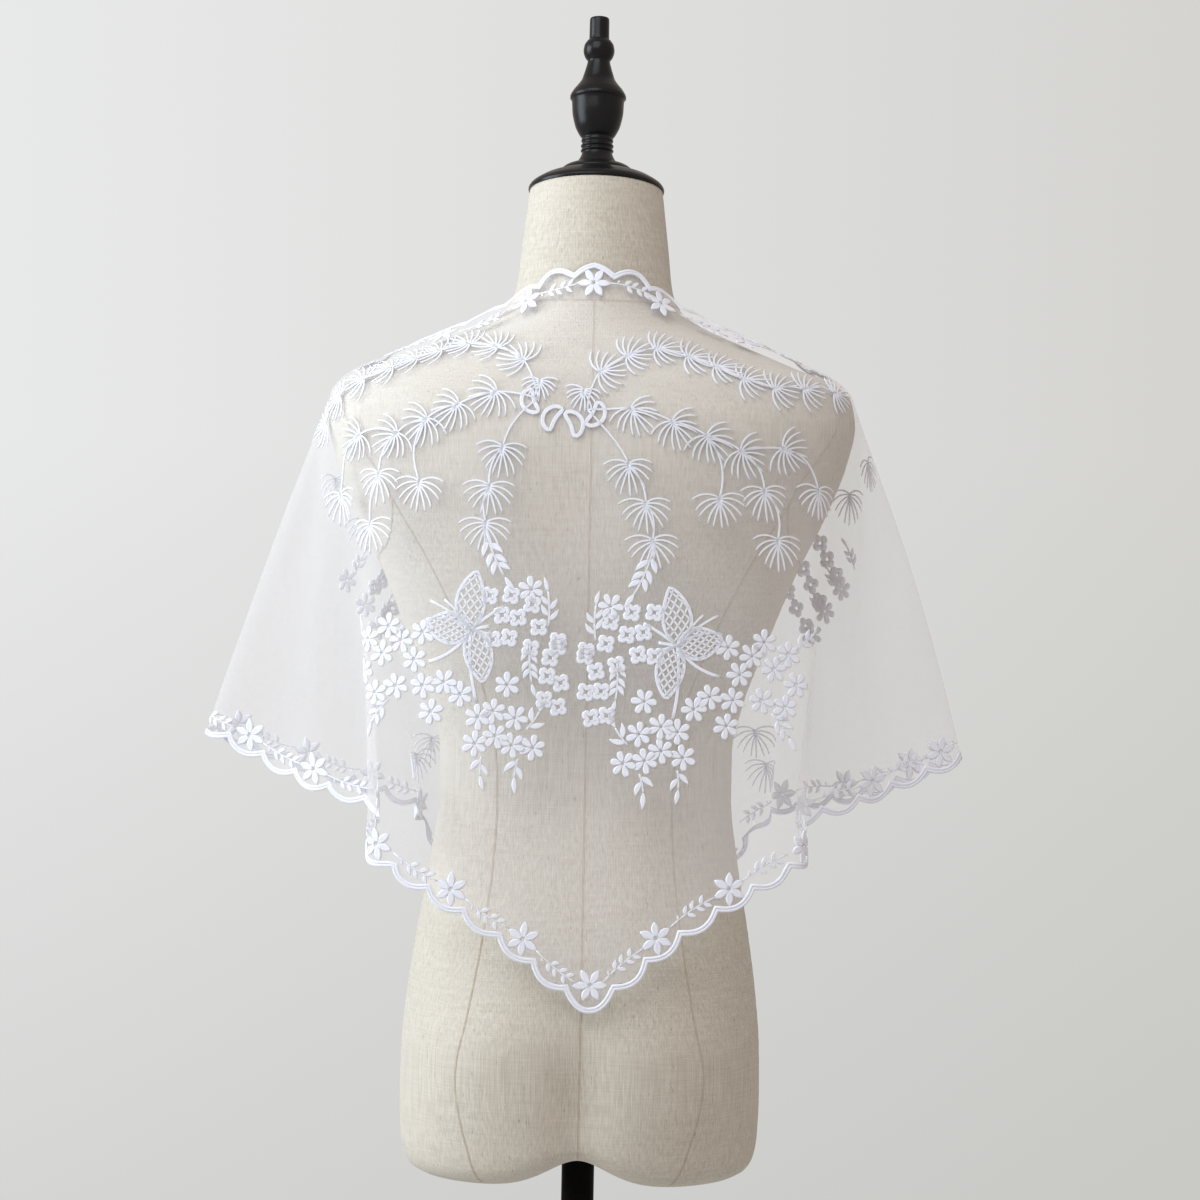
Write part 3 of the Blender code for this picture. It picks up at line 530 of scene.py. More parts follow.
class Nodes:
    """A short way to wire a material's nodes."""

    def __init__(self, name):
        self.material = bpy.data.materials.new(name)
        self.material.use_nodes = True
        self.tree = self.material.node_tree
        self.shader = self.tree.nodes["Principled BSDF"]
        self.place = self.add("ShaderNodeTexCoord").outputs["Object"]

    def add(self, kind, **settings):
        node = self.tree.nodes.new(kind)
        for name, value in settings.items():
            setattr(node, name, value)
        return node

    def surface(self, **values):
        """Sets plain values of the shader; an underscore in a name stands for a space."""
        for name, value in values.items():
            self.shader.inputs[name.replace("_", " ")].default_value = value

    def colour(self, source):
        self.link(source, self.shader.inputs["Base Color"])

    def link(self, source, target):
        self.tree.links.new(source, target)

    def stretched(self, scale, turn=(0, 0, 0)):
        mapping = self.add("ShaderNodeMapping")
        mapping.inputs["Scale"].default_value = scale
        mapping.inputs["Rotation"].default_value = turn
        self.link(self.place, mapping.inputs["Vector"])
        return mapping.outputs["Vector"]

    def noise(self, place, scale, detail=3.0, roughness=0.55):
        noise = self.add("ShaderNodeTexNoise")
        noise.inputs["Scale"].default_value = scale
        noise.inputs["Detail"].default_value = detail
        noise.inputs["Roughness"].default_value = roughness
        self.link(place, noise.inputs["Vector"])
        return noise.outputs["Fac"]

    def wave(self, place, scale, direction, distortion=0.0):
        wave = self.add("ShaderNodeTexWave", bands_direction=direction)
        wave.inputs["Scale"].default_value = scale
        wave.inputs["Distortion"].default_value = distortion
        wave.inputs["Detail"].default_value = 1.0
        self.link(place, wave.inputs["Vector"])
        return wave.outputs["Fac"]

    def maths(self, operation, first, second):
        node = self.add("ShaderNodeMath", operation=operation)
        for socket, value in zip(node.inputs, (first, second)):
            if isinstance(value, (int, float)):
                socket.default_value = value
            else:
                self.link(value, socket)
        return node.outputs[0]

    def spread(self, value, *limits):
        """Maps a value from one range, low and high, to another."""
        node = self.add("ShaderNodeMapRange")
        self.link(value, node.inputs["Value"])
        for name, number in zip(("From Min", "From Max", "To Min", "To Max"), limits):
            node.inputs[name].default_value = number
        return node.outputs["Result"]

    def mix(self, share, first, second):
        node = self.add("ShaderNodeMix", data_type="RGBA")
        self.link(share, node.inputs["Factor"])
        for socket, value in ((node.inputs["A"], first), (node.inputs["B"], second)):
            colour = [s for s in node.inputs if s.name == socket.name and s.type == "RGBA"][0]
            if isinstance(value, tuple):
                colour.default_value = (*value, 1.0)
            else:
                self.link(value, colour)
        return [s for s in node.outputs if s.type == "RGBA"][0]

    def bump(self, height, strength, distance):
        bump = self.add("ShaderNodeBump")
        bump.inputs["Strength"].default_value = strength
        bump.inputs["Distance"].default_value = distance
        self.link(height, bump.inputs["Height"])
        self.link(bump.outputs["Normal"], self.shader.inputs["Normal"])


def shade(colour, factor):
    return tuple(factor * c for c in colour)


def linen_finish(name, light, dark):
    """Plain woven natural linen: thick and thin threads both ways, and a fine weave."""
    n = Nodes(name)
    across = n.noise(n.stretched((9, 9, 210)), 4.0, 4.0)
    upright = n.noise(n.stretched((230, 230, 5)), 4.0, 4.0)
    slubs = n.maths("ADD", n.maths("MULTIPLY", across, 0.30), n.maths("MULTIPLY", upright, 0.70))
    tone = n.spread(slubs, 0.36, 0.64, 0.0, 1.0)
    patches = n.spread(n.noise(n.place, 9.0, 2.0), 0.35, 0.7, 0.0, 1.0)
    cloth = n.mix(tone, dark, light)
    aged = n.mix(n.maths("MULTIPLY", patches, 0.25), cloth, shade(light, 0.9))
    flecks = n.spread(n.noise(n.stretched((260, 260, 50)), 2.2, 2.0), 0.66, 0.75, 0.0, 0.7)
    n.colour(n.mix(flecks, aged, shade(dark, 0.62)))
    weave = n.maths("ADD", n.wave(n.place, 260.0, "Z", 0.6), n.wave(n.place, 260.0, "X", 0.6))
    n.bump(n.maths("ADD", n.maths("MULTIPLY", weave, 0.25), slubs), 0.45, 0.0006)
    n.surface(Roughness=0.88, Sheen_Weight=0.15, Specular_IOR_Level=0.25)
    return n.material


def net_finish():
    """Soft tulle: a fine lattice of threads that lets most of what is behind it show."""
    n = Nodes("white_net")
    n.surface(Base_Color=(*NET_COLOUR, 1.0), Roughness=0.75, Sheen_Weight=0.7, Specular_IOR_Level=0.2)
    threads = [n.wave(n.stretched((1, 0.6, 1), (0, math.radians(a), 0)), 330.0, "X") for a in (30, -30)]
    lattice = n.maths("MULTIPLY", *threads)
    uneven = n.noise(n.stretched((1, 1, 0.35)), 22.0, 3.0)
    veil = n.spread(uneven, 0.3, 0.7, NET_COVER - 0.03, NET_COVER + 0.03)
    n.link(n.maths("ADD", n.maths("MULTIPLY", lattice, 0.06), veil), n.shader.inputs["Alpha"])
    n.bump(lattice, 0.3, 0.0003)
    return n.material


def satin_finish(name, colour):
    """Dense satin stitch: fine threads laid side by side, with a soft sheen."""
    n = Nodes(name)
    n.place = n.add("ShaderNodeTexCoord").outputs["UV"]
    threads = n.wave(n.place, 620.0, "X", 0.5)
    uneven = n.noise(n.place, 160.0, 2.0)
    tone = n.maths("ADD", n.maths("MULTIPLY", threads, 0.5), n.maths("MULTIPLY", uneven, 0.5))
    n.colour(n.mix(tone, shade(colour, 0.93), colour))
    n.bump(tone, 0.5, 0.00025)
    n.surface(Roughness=0.45, Sheen_Weight=0.2)
    n.surface(Subsurface_Weight=0.30, Subsurface_Radius=(1.0, 1.0, 1.0), Subsurface_Scale=0.001)
    return n.material


def black_finish(name, colour, roughness, grain, gloss):
    """Satin black stain or paint, with faint streaks and rubbed places."""
    n = Nodes(name)
    streaks = n.noise(n.stretched((1, 1, grain)), 60.0, 4.0)
    rubbed = n.noise(n.place, 25.0, 3.0)
    n.colour(n.mix(streaks, colour, shade(colour, 1.9)))
    n.link(n.spread(rubbed, 0.3, 0.7, roughness - 0.06, roughness + 0.10), n.shader.inputs["Roughness"])
    n.surface(Specular_IOR_Level=gloss)
    n.bump(streaks, 0.12, 0.0004)
    return n.material


def floor_finish():
    n = Nodes("floor")
    n.colour(n.mix(n.noise(n.place, 3.0, 3.0), (0.60, 0.60, 0.59), (0.66, 0.66, 0.65)))
    n.surface(Roughness=0.8)
    return n.material


# The form and its stand.


def add_torso(finish):
    angles = np.arange(TORSO_SIDES) * 2 * math.pi / TORSO_SIDES
    low = np.linspace(BODY[0][0], CLOSE_RINGS_BELOW, CLOSE_RINGS)[:-1]
    heights = np.concatenate([low, np.linspace(CLOSE_RINGS_BELOW, NECK_TOP, TORSO_RINGS)])
    rings = [body_point(angles, np.full(TORSO_SIDES, h)) for h in heights]
    sole = rings[0]
    flat = TORSO_FOOT + UNDERSIDE_RISE
    under = []
    for share in SOLE_SHARES:
        ring = sole * (share, share, 1)
        ring[:, 2] = sole[:, 2] + (flat - sole[:, 2]) * smooth_step((1 - share) / SOLE_ROUNDING)
        under.append(ring)
    crown = rings[-1]
    centre = crown.mean(axis=0)
    over = [centre + (crown - centre) * share for share in CROWN_SHARES]
    points = np.vstack(under + rings + over)
    faces = capped_faces(len(points) // TORSO_SIDES, TORSO_SIDES)
    return mesh_object("linen_torso", points, faces, finish)


def on_both_sides(seam):
    return seam, tuple((-angle, height) for angle, height in seam)


# The form's seams, each a line of angles from the back and heights.
SEAMS = (
    ((0, 0.655), (0, 0.50), (0, 0.35), (0, 0.20), (0, 0.10), (0, -0.004)),
    (
        (-65, 0.505), (-60, 0.46), (-51, 0.37), (-45, 0.28), (-42, 0.20), (-41, 0.12), (-43, 0.07),
        (-39, -0.004),
    ),
    ((65, 0.505), (60, 0.46), (51, 0.37), (45, 0.28), (42, 0.20), (41, 0.12), (43, 0.07), (38, -0.004)),
    *on_both_sides(((-90, 0.57), (-88, 0.45), (-90, 0.31), (-90, 0.15), (-90, 0.02))),
    ((180, 0.655), (180, 0.50), (180, 0.35), (180, 0.20), (180, 0.02)),
    *on_both_sides(((-143, 0.62), (-147, 0.50), (-143, 0.35), (-140, 0.20), (-141, 0.02))),
    *on_both_sides(((-80, 0.600), (-73, 0.557), (-65, 0.505), (-72, 0.470), (-90, 0.455))),
    tuple((a, 0.655) for a in range(-180, 181, 20)),
)
# Places across a seam, and how far they stand off the torso: two welts with a hollow between them.
SEAM_SECTION = (
    (-0.0011, -0.0003), (-0.0006, 0.00032), (-0.00025, 0.00028), (0.0, 0.00002), (0.00025, 0.00028),
    (0.0006, 0.00032), (0.0011, -0.0003),
)
SEAM_STEP = 0.004


def seam_line(knots):
    """Points along a seam, close together and evenly spread."""
    knots = np.array(knots, float)
    place = np.arange(len(knots))
    fine = np.linspace(0, len(knots) - 1, 40 * len(knots))
    angle = np.radians(monotone(place, knots[:, 0])(fine))
    height = monotone(place, knots[:, 1])(fine)
    path = body_point(angle, height)
    reached = reach_along(path)
    even = np.linspace(0, reached[-1], max(int(reached[-1] / SEAM_STEP), 8))
    return np.interp(even, reached, angle), np.interp(even, reached, height)


def add_seams(finish):
    """Each seam as two soft welts with a stitched hollow between them."""
    across, rise = np.array(SEAM_SECTION).T
    points, faces, base = [], [], 0
    for knots in SEAMS:
        angle, height = seam_line(knots)
        line = body_point(angle, height)
        normal = body_normal(angle, height)
        along = np.gradient(line, axis=0)
        side = unit(np.cross(normal, along))
        pucker = 1 + 0.25 * np.sin(np.arange(len(line)) * 2.1)
        strip = line[:, None] + side[:, None] * across[:, None]
        strip = strip + normal[:, None] * (rise[:, None] * pucker[:, None, None])
        points.append(strip.reshape(-1, 3))
        faces.append(grid_faces(len(line), len(across)) + base)
        base += strip.shape[0] * strip.shape[1]
    return mesh_object("torso_seams", np.vstack(points), np.vstack(faces), finish)


def rounded_profile(profile, per_step=4):
    """More points along a turned profile, on a smooth curve through the given ones."""
    profile = np.array(profile, float)
    before = np.vstack([2 * profile[0] - profile[1], profile[:-1]])
    after = np.vstack([profile[1:], 2 * profile[-1] - profile[-2]])
    tangent = (after - before) / 2 * PROFILE_PULL
    fine = []
    for i in range(len(profile) - 1):
        t = np.linspace(0, 1, per_step, endpoint=False)[:, None]
        fine.append(hermite(t, profile[i], profile[i + 1], tangent[i], tangent[i + 1]))
    fine.append(profile[-1:])
    return np.vstack(fine)


def add_turned(name, profile, finish, place=Matrix(), sides=TURNED_SIDES):
    """A closed solid turned about Z from a profile that runs up its outside."""
    angles = np.arange(sides) * 2 * math.pi / sides
    ring = np.stack([np.cos(angles), np.sin(angles), np.zeros(sides)], axis=-1)
    points = np.concatenate([ring * radius + (0, 0, height) for radius, height in profile])
    made = mesh_object(name, points, capped_faces(len(profile), sides), finish)
    made.data.set_sharp_from_angle(angle=math.radians(50))
    made.data.transform(place)
    return made


def neck_axis():
    top = body_point(np.array([0.0, math.pi]), np.array([NECK_TOP, NECK_TOP])).mean(axis=0)
    return Matrix.Translation((0.0, top[1], top[2] + GAP)) @ Matrix.Rotation(-NECK_TILT, 4, "X")


def add_stand(wood, metal):
    """The turned cap and knob, the pole, and the round foot with its socket."""
    lean = neck_axis()
    cap = add_turned("turned_cap", rounded_profile(CAP_PROFILE), wood, lean)
    knob = add_turned("turned_finial", rounded_profile(FINIAL_PROFILE), wood, lean)
    bottom, top = FOOT_THICKNESS + GAP, TORSO_FOOT + UNDERSIDE_RISE - GAP
    edge = 0.0006
    pole_profile = (
        (POLE_RADIUS - edge, bottom), (POLE_RADIUS, bottom + edge),
        (POLE_RADIUS, top - edge), (POLE_RADIUS - edge, top),
    )
    pole = add_turned("round_pole", pole_profile, metal)
    bore = POLE_RADIUS + GAP
    foot_profile = (
        (0.0005, 0.0), (FOOT_RADIUS - 0.0015, 0.0), (FOOT_RADIUS, 0.0015), (FOOT_RADIUS, 0.0055),
        (FOOT_RADIUS - 0.0012, 0.0070), (FOOT_RADIUS - 0.004, 0.0080), (0.100, FOOT_THICKNESS - 0.0012),
        (0.045, FOOT_THICKNESS), (HUB_RADIUS + 0.004, FOOT_THICKNESS + 0.002),
        (HUB_RADIUS, FOOT_THICKNESS + 0.008), (HUB_RADIUS - 0.002, HUB_HEIGHT - 0.004),
        (HUB_RADIUS - 0.0035, HUB_HEIGHT - 0.001), (HUB_RADIUS - 0.006, HUB_HEIGHT),
        (bore, HUB_HEIGHT), (bore, FOOT_THICKNESS), (0.0005, FOOT_THICKNESS),
    )
    foot = add_turned("round_foot", foot_profile, metal, sides=128)
    return cap, knob, pole, foot


# The shawl.


class Edge:
    """One edge of the cloth: distances along it from its middle, and the sections they fall on."""

    def __init__(self, cloth, share):
        self.cloth = cloth
        self.share = share
        self.sections = np.linspace(-FOLDS_A_SIDE, FOLDS_A_SIDE, EDGE_STEPS + 1)
        reached = reach_along(cloth.at(self.sections, share))
        self.distance = reached - np.interp(0, self.sections, reached)
        self.middle = POINT_SCALLOP if share > 0.5 else SCALLOP_LENGTH

    def section_at(self, distance):
        return np.interp(distance, self.distance, self.sections)

    def distance_at(self, section):
        return np.interp(section, self.sections, self.distance)

    def scallops(self, side):
        """How many scallops one side has, counted to its last crest, and how long each is."""
        length = abs(self.distance[0 if side < 0 else -1]) - self.middle / 2
        count = max(1, round(length / SCALLOP_LENGTH + 0.5))
        return count, length / (count - 0.5)

    def crest(self, side, number):
        """How far from the middle a crest lies."""
        return side * (number > 0) * (self.middle / 2 + (number - 0.5) * self.scallops(side)[1])

    def dip(self, distance):
        """How far the scalloped outline stands back from the line through its crests."""
        length = np.where(distance < 0, self.scallops(-1)[1], self.scallops(1)[1])
        beyond = np.maximum(np.abs(distance) - self.middle / 2, 0)
        phase = np.minimum(np.abs(distance) / self.middle, 0.5) + beyond / length
        return SCALLOP_DEPTH * (2 * (phase - np.round(phase))) ** 2

    def outline(self):
        """Distances along the whole edge that fall on each crest and inner corner, and which are corners."""
        halves = []
        for side in (-1, 1):
            count, length = self.scallops(side)
            first = np.linspace(0, self.middle / 2, POINTS_PER_HALF + 1)
            last = (count - 0.5) * length + self.middle / 2
            others = np.linspace(self.middle / 2, last, (2 * count - 1) * POINTS_PER_HALF + 1)
            away = np.concatenate([first, others[1:]])
            step = np.arange(len(away))
            halves.append((away, step % (2 * POINTS_PER_HALF) == POINTS_PER_HALF))
        (left, left_corner), (right, right_corner) = halves
        distance = np.concatenate([-left[::-1], right[1:]])
        corner = np.concatenate([left_corner[::-1], right_corner[1:]])
        return np.clip(distance, self.distance[0], self.distance[-1]), corner

    def directions(self, distance):
        """The section that far along, how points move there by section and share, along and inward."""
        section = self.section_at(distance)
        across, down = self.cloth.slopes(section, np.full_like(section, self.share))
        along = unit(across)
        inward = down if self.share < 0.5 else -down
        return section, across, down, along, unit(inward - along * dot(inward, along))

    def spot(self, distance, inset):
        """The section and share that far along the edge and in from it, and how the edge runs there."""
        section, across, down, along, inward = self.directions(distance)
        d_section, d_share = solve_slopes(across, down, inward * inset)
        plumb = unit(down)
        rise = (along * plumb).sum()
        heading = math.atan2(rise, np.linalg.norm(along - plumb * rise))
        if abs(distance) < 0.001:
            d_section = 0.0
        return (float(section + d_section), float(self.share + d_share)), heading

    def place(self, distance, inset, height=0.0):
        """Points that far along the edge and that far in from it, measured square to it."""
        distance, inset = np.broadcast_arrays(np.asarray(distance, float), np.asarray(inset, float))
        section, across, down, _, inward = self.directions(distance)
        d_section, d_share = solve_slopes(across, down, inward * inset[..., None])
        return self.cloth.at(section + d_section, self.share + d_share, height)


def solve_slopes(across, down, move):
    """The change of section and share that moves a point of the cloth by move."""
    aa = (across * across).sum(-1)
    ad = (across * down).sum(-1)
    dd = (down * down).sum(-1)
    am = (across * move).sum(-1)
    dm = (down * move).sum(-1)
    whole = aa * dd - ad * ad
    return (am * dd - dm * ad) / whole, (dm * aa - am * ad) / whole


def add_net(cloth, top, hem, finish):
    """The net ground, out to the middle of the satin edge."""
    half_band = BAND_WIDTH / 2
    sections = np.linspace(-FOLDS_A_SIDE + NET_TUCK, FOLDS_A_SIDE - NET_TUCK, NET_COLUMNS + 1)
    length = cloth.length(sections)
    top_inset = top.dip(top.distance_at(sections)) + half_band
    hem_inset = hem.dip(hem.distance_at(sections)) + half_band
    above = cloth.inset_along(sections, np.zeros_like(sections), top_inset) / length
    below = cloth.inset_along(sections, np.ones_like(sections), hem_inset) / length
    crowded = np.maximum((above + below) / 0.8, 1)
    above, below = above / crowded, below / crowded
    row = np.linspace(0, 1, NET_ROWS + 1)[:, None]
    shares = above + row * (1 - above - below)
    points = cloth.at(np.broadcast_to(sections, shares.shape), shares)
    faces = grid_faces(NET_ROWS + 1, NET_COLUMNS + 1)[:, ::-1]
    return mesh_object("shawl_net", points.reshape(-1, 3), faces, finish)


def add_band(name, edge, finish):
    """A satin band that follows the scalloped edge, in from its outline."""
    distance, corner = edge.outline()
    dip = edge.dip(distance)
    rise = (edge.dip(distance + 1e-5) - edge.dip(distance - 1e-5)) / 2e-5
    square = np.sqrt(1 + rise**2)
    mitre = np.sqrt(1 + np.gradient(dip, distance)[np.maximum(np.arange(len(dip)) - 1, 0)] ** 2)
    square = np.where(corner, 1 / mitre, square)
    shape, crown = np.array(BAND_SECTION).T
    rows = []
    for s, c in zip(shape, crown):
        out = BAND_WIDTH * (0.5 + s)
        along = np.clip(distance - rise / square * out, edge.distance[0], edge.distance[-1])
        rows.append(edge.place(along, dip + out / square, 0.0003 + c * BAND_HEIGHT))
    points = np.stack(rows, axis=1)
    faces = grid_faces(len(distance), len(shape))
    if edge.share < 0.5:
        faces = faces[:, ::-1]
    along = np.repeat(distance[:, None], len(shape), axis=1)
    across = np.repeat(shape[None] * BAND_WIDTH, len(distance), axis=0)
    uv = np.stack([along, across], axis=-1).reshape(-1, 2)
    return mesh_object(name, points.reshape(-1, 3), faces, finish, uv)


# The embroidery: raised satin shapes laid on the net, of ordinary flowers and leaves. The places of the
# right half were read off the picture and turned into metres, and the left half mirrors them.

STITCH_HEIGHT = 0.0008
SECTION_WIDTH = 0.050
CLOTH_LENGTH = 0.570
STEEPEST_RIB = 0.60
STEM_WIDTH = 0.0014
DOWN = math.pi / 2
HAIR_WIDTH = 0.0014
RIB_STATIONS = 9
RING_STATIONS = 28
STEM_STATIONS = 13
CROSS_SECTION = (
    (-0.5, 0.0), (-0.40, 0.95), (-0.22, 0.85), (0.0, 0.78), (0.22, 0.85), (0.40, 0.95), (0.5, 0.0),
    (0.0, -0.35),
)
SETTLING_PASSES = 5
LONGEST_SECTION_STEP = 0.5
LONGEST_SHARE_STEP = 0.05
STITCH_TUCK = 0.2
STEM_BOW = 0.06
BACK_SECTIONS = (-6, 6)
FRONT_SECTIONS = (6.5, 11)
MIDDLE_SECTIONS = 2


def centre_line(height):
    """How far right the shawl's own centre line is, which leans a little."""
    return CENTRE_LINE_TOP + (height - CENTRE_LINE_LEVEL) * CENTRE_LINE_LEAN


class Pattern:
    """Places on the cloth as they are seen from behind, and their mirror places on the other side."""

    def __init__(self, cloth):
        self.cloth = cloth
        x, y, z = EYE
        away = -y / (cloth.points[..., 1] - y)
        self.seen_x = x + (cloth.points[..., 0] - x) * away
        self.seen_z = z + (cloth.points[..., 2] - z) * away
        self.back = np.abs(cloth.sections) <= MIDDLE_SECTIONS

    def seen(self, across, height, sections):
        """The section and share of the cloth seen that far right of its centre line and that high."""
        chosen = (self.cloth.sections >= sections[0]) & (self.cloth.sections <= sections[1])
        off = (self.seen_x - (centre_line(height) + across)) ** 2 + (self.seen_z - height) ** 2
        off = np.where(chosen[:, None], off, np.inf)
        i, j = np.unravel_index(np.argmin(off), off.shape)
        return self.cloth.sections[i], self.cloth.shares[j]

    def mirrored(self, spot):
        """The same distance across the cloth on the other side of its centre line."""
        section, share = spot
        row = self.cloth.at(self.cloth.sections, share)
        reached = reach_along(row)
        x = centre_line(row[len(row) // 2][2])
        middle = np.interp(x, row[:, 0][self.back], reached[self.back])
        other = 2 * middle - np.interp(section, self.cloth.sections, reached)
        return np.interp(other, reached, self.cloth.sections), share


class Stitches:
    """A piece of embroidery, gathered rib by rib and then made as one mesh."""

    def __init__(self, cloth):
        self.cloth = cloth
        self.ribs = {True: [], False: []}
        self.stems = []

    def rib(self, spot, path, widths, closed=False, turn=0.0, flip=1):
        """One satin rib, drawn flat round a spot of the cloth: x to its right, y down the cloth."""
        path = np.array(path, float)
        widths = np.broadcast_to(widths, len(path))
        count = RING_STATIONS if closed else RIB_STATIONS
        if closed:
            path = np.vstack([path, path[:1]])
            widths = [*widths, widths[0]]
        reached = reach_along(path)
        even = np.linspace(0, reached[-1], count + closed)[:count]
        place = np.stack([np.interp(even, reached, path[:, k]) for k in range(2)], axis=-1)
        width = np.interp(even, reached, widths)
        c, s = math.cos(turn), math.sin(turn)
        place = place @ np.array([[c, s], [-s, c]])
        place[:, 0] *= flip
        self.ribs[closed].append((spot, place, width))

    def stem(self, start, end, bow):
        """A thin rib from one spot of the cloth to another, bowed sideways by a share of its length."""
        t = np.linspace(0, 1, STEM_STATIONS)
        start, end = np.array(start), np.array(end)
        line = start + (end - start) * t[:, None]
        size = np.array([SECTION_WIDTH, CLOTH_LENGTH])
        side = (end - start) * size
        side = np.array([side[1], -side[0]]) / size
        line = line + side * (bow * 4 * t * (1 - t))[:, None]
        self.stems.append(line)

    def settled(self, ribs):
        """The section and share of each point of many ribs, so that they lie flat on the cloth."""
        spots, place, width = (np.array(each) for each in zip(*ribs))
        section = np.repeat(spots[:, :1], place.shape[1], axis=1)
        share = np.repeat(spots[:, 1:], place.shape[1], axis=1)
        across, down = self.cloth.slopes(spots[:, 0], spots[:, 1])
        down = unit(down)
        right = unit(across - down * dot(across, down))
        centre = self.cloth.at(spots[:, 0], spots[:, 1])
        target = centre[:, None] + right[:, None] * place[..., :1] + down[:, None] * place[..., 1:]
        for _ in range(SETTLING_PASSES):
            step_section, step_share = solve_slopes(
                *self.cloth.slopes(section, share), target - self.cloth.at(section, share)
            )
            section = section + np.clip(step_section, -LONGEST_SECTION_STEP, LONGEST_SECTION_STEP)
            section = np.clip(section, STITCH_TUCK - FOLDS_A_SIDE, FOLDS_A_SIDE - STITCH_TUCK)
            share = share + np.clip(step_share, -LONGEST_SHARE_STEP, LONGEST_SHARE_STEP)
            share = np.clip(share, 0.004, 0.996)
        return section, share, width

    def made(self, name, finish):
        points, faces, uvs, base = [], [], [], 0
        batches = [(self.settled(ribs), closed) for closed, ribs in self.ribs.items() if ribs]
        if self.stems:
            section, share = np.moveaxis(np.array(self.stems), -1, 0)
            batches.append(((section, share, np.full(section.shape, STEM_WIDTH)), False))
        for (section, share, width), closed in batches:
            new_points, new_faces, new_uv = self.laid(section, share, width, closed)
            points.append(new_points)
            faces += (new_faces + base).tolist()
            if not closed:
                faces += self.ends(section.shape, base)
            uvs.append(new_uv)
            base += len(new_points)
        piece = mesh_object(name, np.vstack(points), faces, finish, np.vstack(uvs))
        turned = bmesh.new()
        turned.from_mesh(piece.data)
        bmesh.ops.recalc_face_normals(turned, faces=turned.faces)
        turned.to_mesh(piece.data)
        turned.free()
        return piece

    def laid(self, section, share, width, closed):
        """Ribs of a rounded section along lines on the cloth, as points, faces and thread places."""
        line = self.cloth.at(section, share)
        normal = self.cloth.at(section, share, 1.0) - line
        if closed:
            along = np.roll(line, -1, axis=1) - np.roll(line, 1, axis=1)
        else:
            along = np.gradient(line, axis=1)
        side = np.cross(normal, along)
        side = side / np.maximum(np.linalg.norm(side, axis=-1, keepdims=True), 1e-9)
        tall = np.minimum(STITCH_HEIGHT, STEEPEST_RIB * width)
        profile = np.array(CROSS_SECTION)
        out = side[:, :, None] * (profile[:, 0] * width[..., None])[..., None]
        up = normal[:, :, None] * (profile[:, 1] * tall[..., None])[..., None]
        points = line[:, :, None] + out + up
        ribs, stations, ring = points.shape[:3]
        last = stations if closed else stations - 1
        rib, station, k = np.meshgrid(np.arange(ribs), np.arange(last), np.arange(ring), indexing="ij")
        after, turn = (station + 1) % stations, (k + 1) % ring
        first, second = (rib * stations + station) * ring, (rib * stations + after) * ring
        faces = np.stack([first + k, second + k, second + turn, first + turn], axis=-1).reshape(-1, 4)
        reached = np.cumsum(np.linalg.norm(along, axis=-1), axis=1) + np.arange(ribs)[:, None] * 0.0137
        u = np.repeat(reached[..., None], ring, axis=2)
        v = profile[:, 0] * width[..., None]
        return points.reshape(-1, 3), faces, np.stack([u, v], axis=-1).reshape(-1, 2)

    def ends(self, shape, base):
        """A face over each end of each open rib."""
        ring = len(CROSS_SECTION)
        caps = []
        for rib in range(shape[0]):
            first = base + rib * shape[1] * ring
            last = first + (shape[1] - 1) * ring
            caps.append([first + k for k in range(ring)])
            caps.append([last + k for k in range(ring)][::-1])
        return caps


PETALS = 6
EYE_RING_WIDTH = 0.0009
PETAL = np.array([0.32, 0.48, 0.68, 0.85, 0.96, 1.0, 0.96, 0.80, 0.42])
POINTED_PETAL = np.array([0.40, 0.60, 0.80, 0.95, 1.0, 0.92, 0.72, 0.44, 0.12])
LEAF = np.array([0.22, 0.52, 0.84, 1.0, 1.0, 0.86, 0.62, 0.34, 0.10])
HAIR = np.array([0.9, 1.0, 1.0, 1.0, 1.0, 0.95, 0.9, 0.8, 0.6])
SPRIG_BEND = 0.3
BORDER_INSET = 0.0165
POINT_INSET = 0.0205
BORDER_SPRIG_LENGTH = 0.040
BORDER_LEAVES_AT = (0.36, 0.42, 0.54, 0.60, 0.72, 0.78)
PLUME_HAIRS = 11
PLUME_SPREAD = math.radians(127)
RIM_WIDTH = 0.0026
LATTICE_STEP = 0.185
TURNS = np.arange(RING_STATIONS) * 2 * math.pi / RING_STATIONS


def straight(start, angle, length, bend=0.0, count=9):
    """Points of a gently bent line that leaves start at an angle from the right, turning as it goes."""
    steps = np.linspace(0, 1, count)[:-1] + 0.5 / (count - 1)
    headings = angle + bend * steps
    moves = np.stack([np.cos(headings), np.sin(headings)], axis=-1) * (length / (count - 1))
    return np.vstack([np.zeros(2), np.cumsum(moves, axis=0)]) + np.asarray(start, float)


def polar(radius, angle):
    return np.stack([radius * np.cos(angle), radius * np.sin(angle)], axis=-1)


def sew_petals(stitches, spot, shape, inner, outer, width, turn, flip):
    """A flower of six petals round a small open eye."""
    for k in range(PETALS):
        angle = turn + k * 2 * math.pi / PETALS
        unevenness = 1 + 0.05 * math.sin(5.0 * k + 9.0 * spot[0])
        path = straight(polar(inner, angle), angle, (outer - inner) * unevenness)
        stitches.rib(spot, path, shape * width, flip=flip)
    ring = polar(inner, np.arange(10) * math.pi / 5)
    stitches.rib(spot, ring, EYE_RING_WIDTH, closed=True, flip=flip)


def sew_daisy(stitches, spot, flip=1):
    turn = 0.7 * math.sin(40 * spot[0] + 23 * spot[1])
    sew_petals(stitches, spot, PETAL, 0.0014, 0.0096, 0.0053, turn, flip)


def sew_border_flower(stitches, spot, turn):
    sew_petals(stitches, spot, POINTED_PETAL, 0.0013, 0.0126, 0.0061, turn, 1)


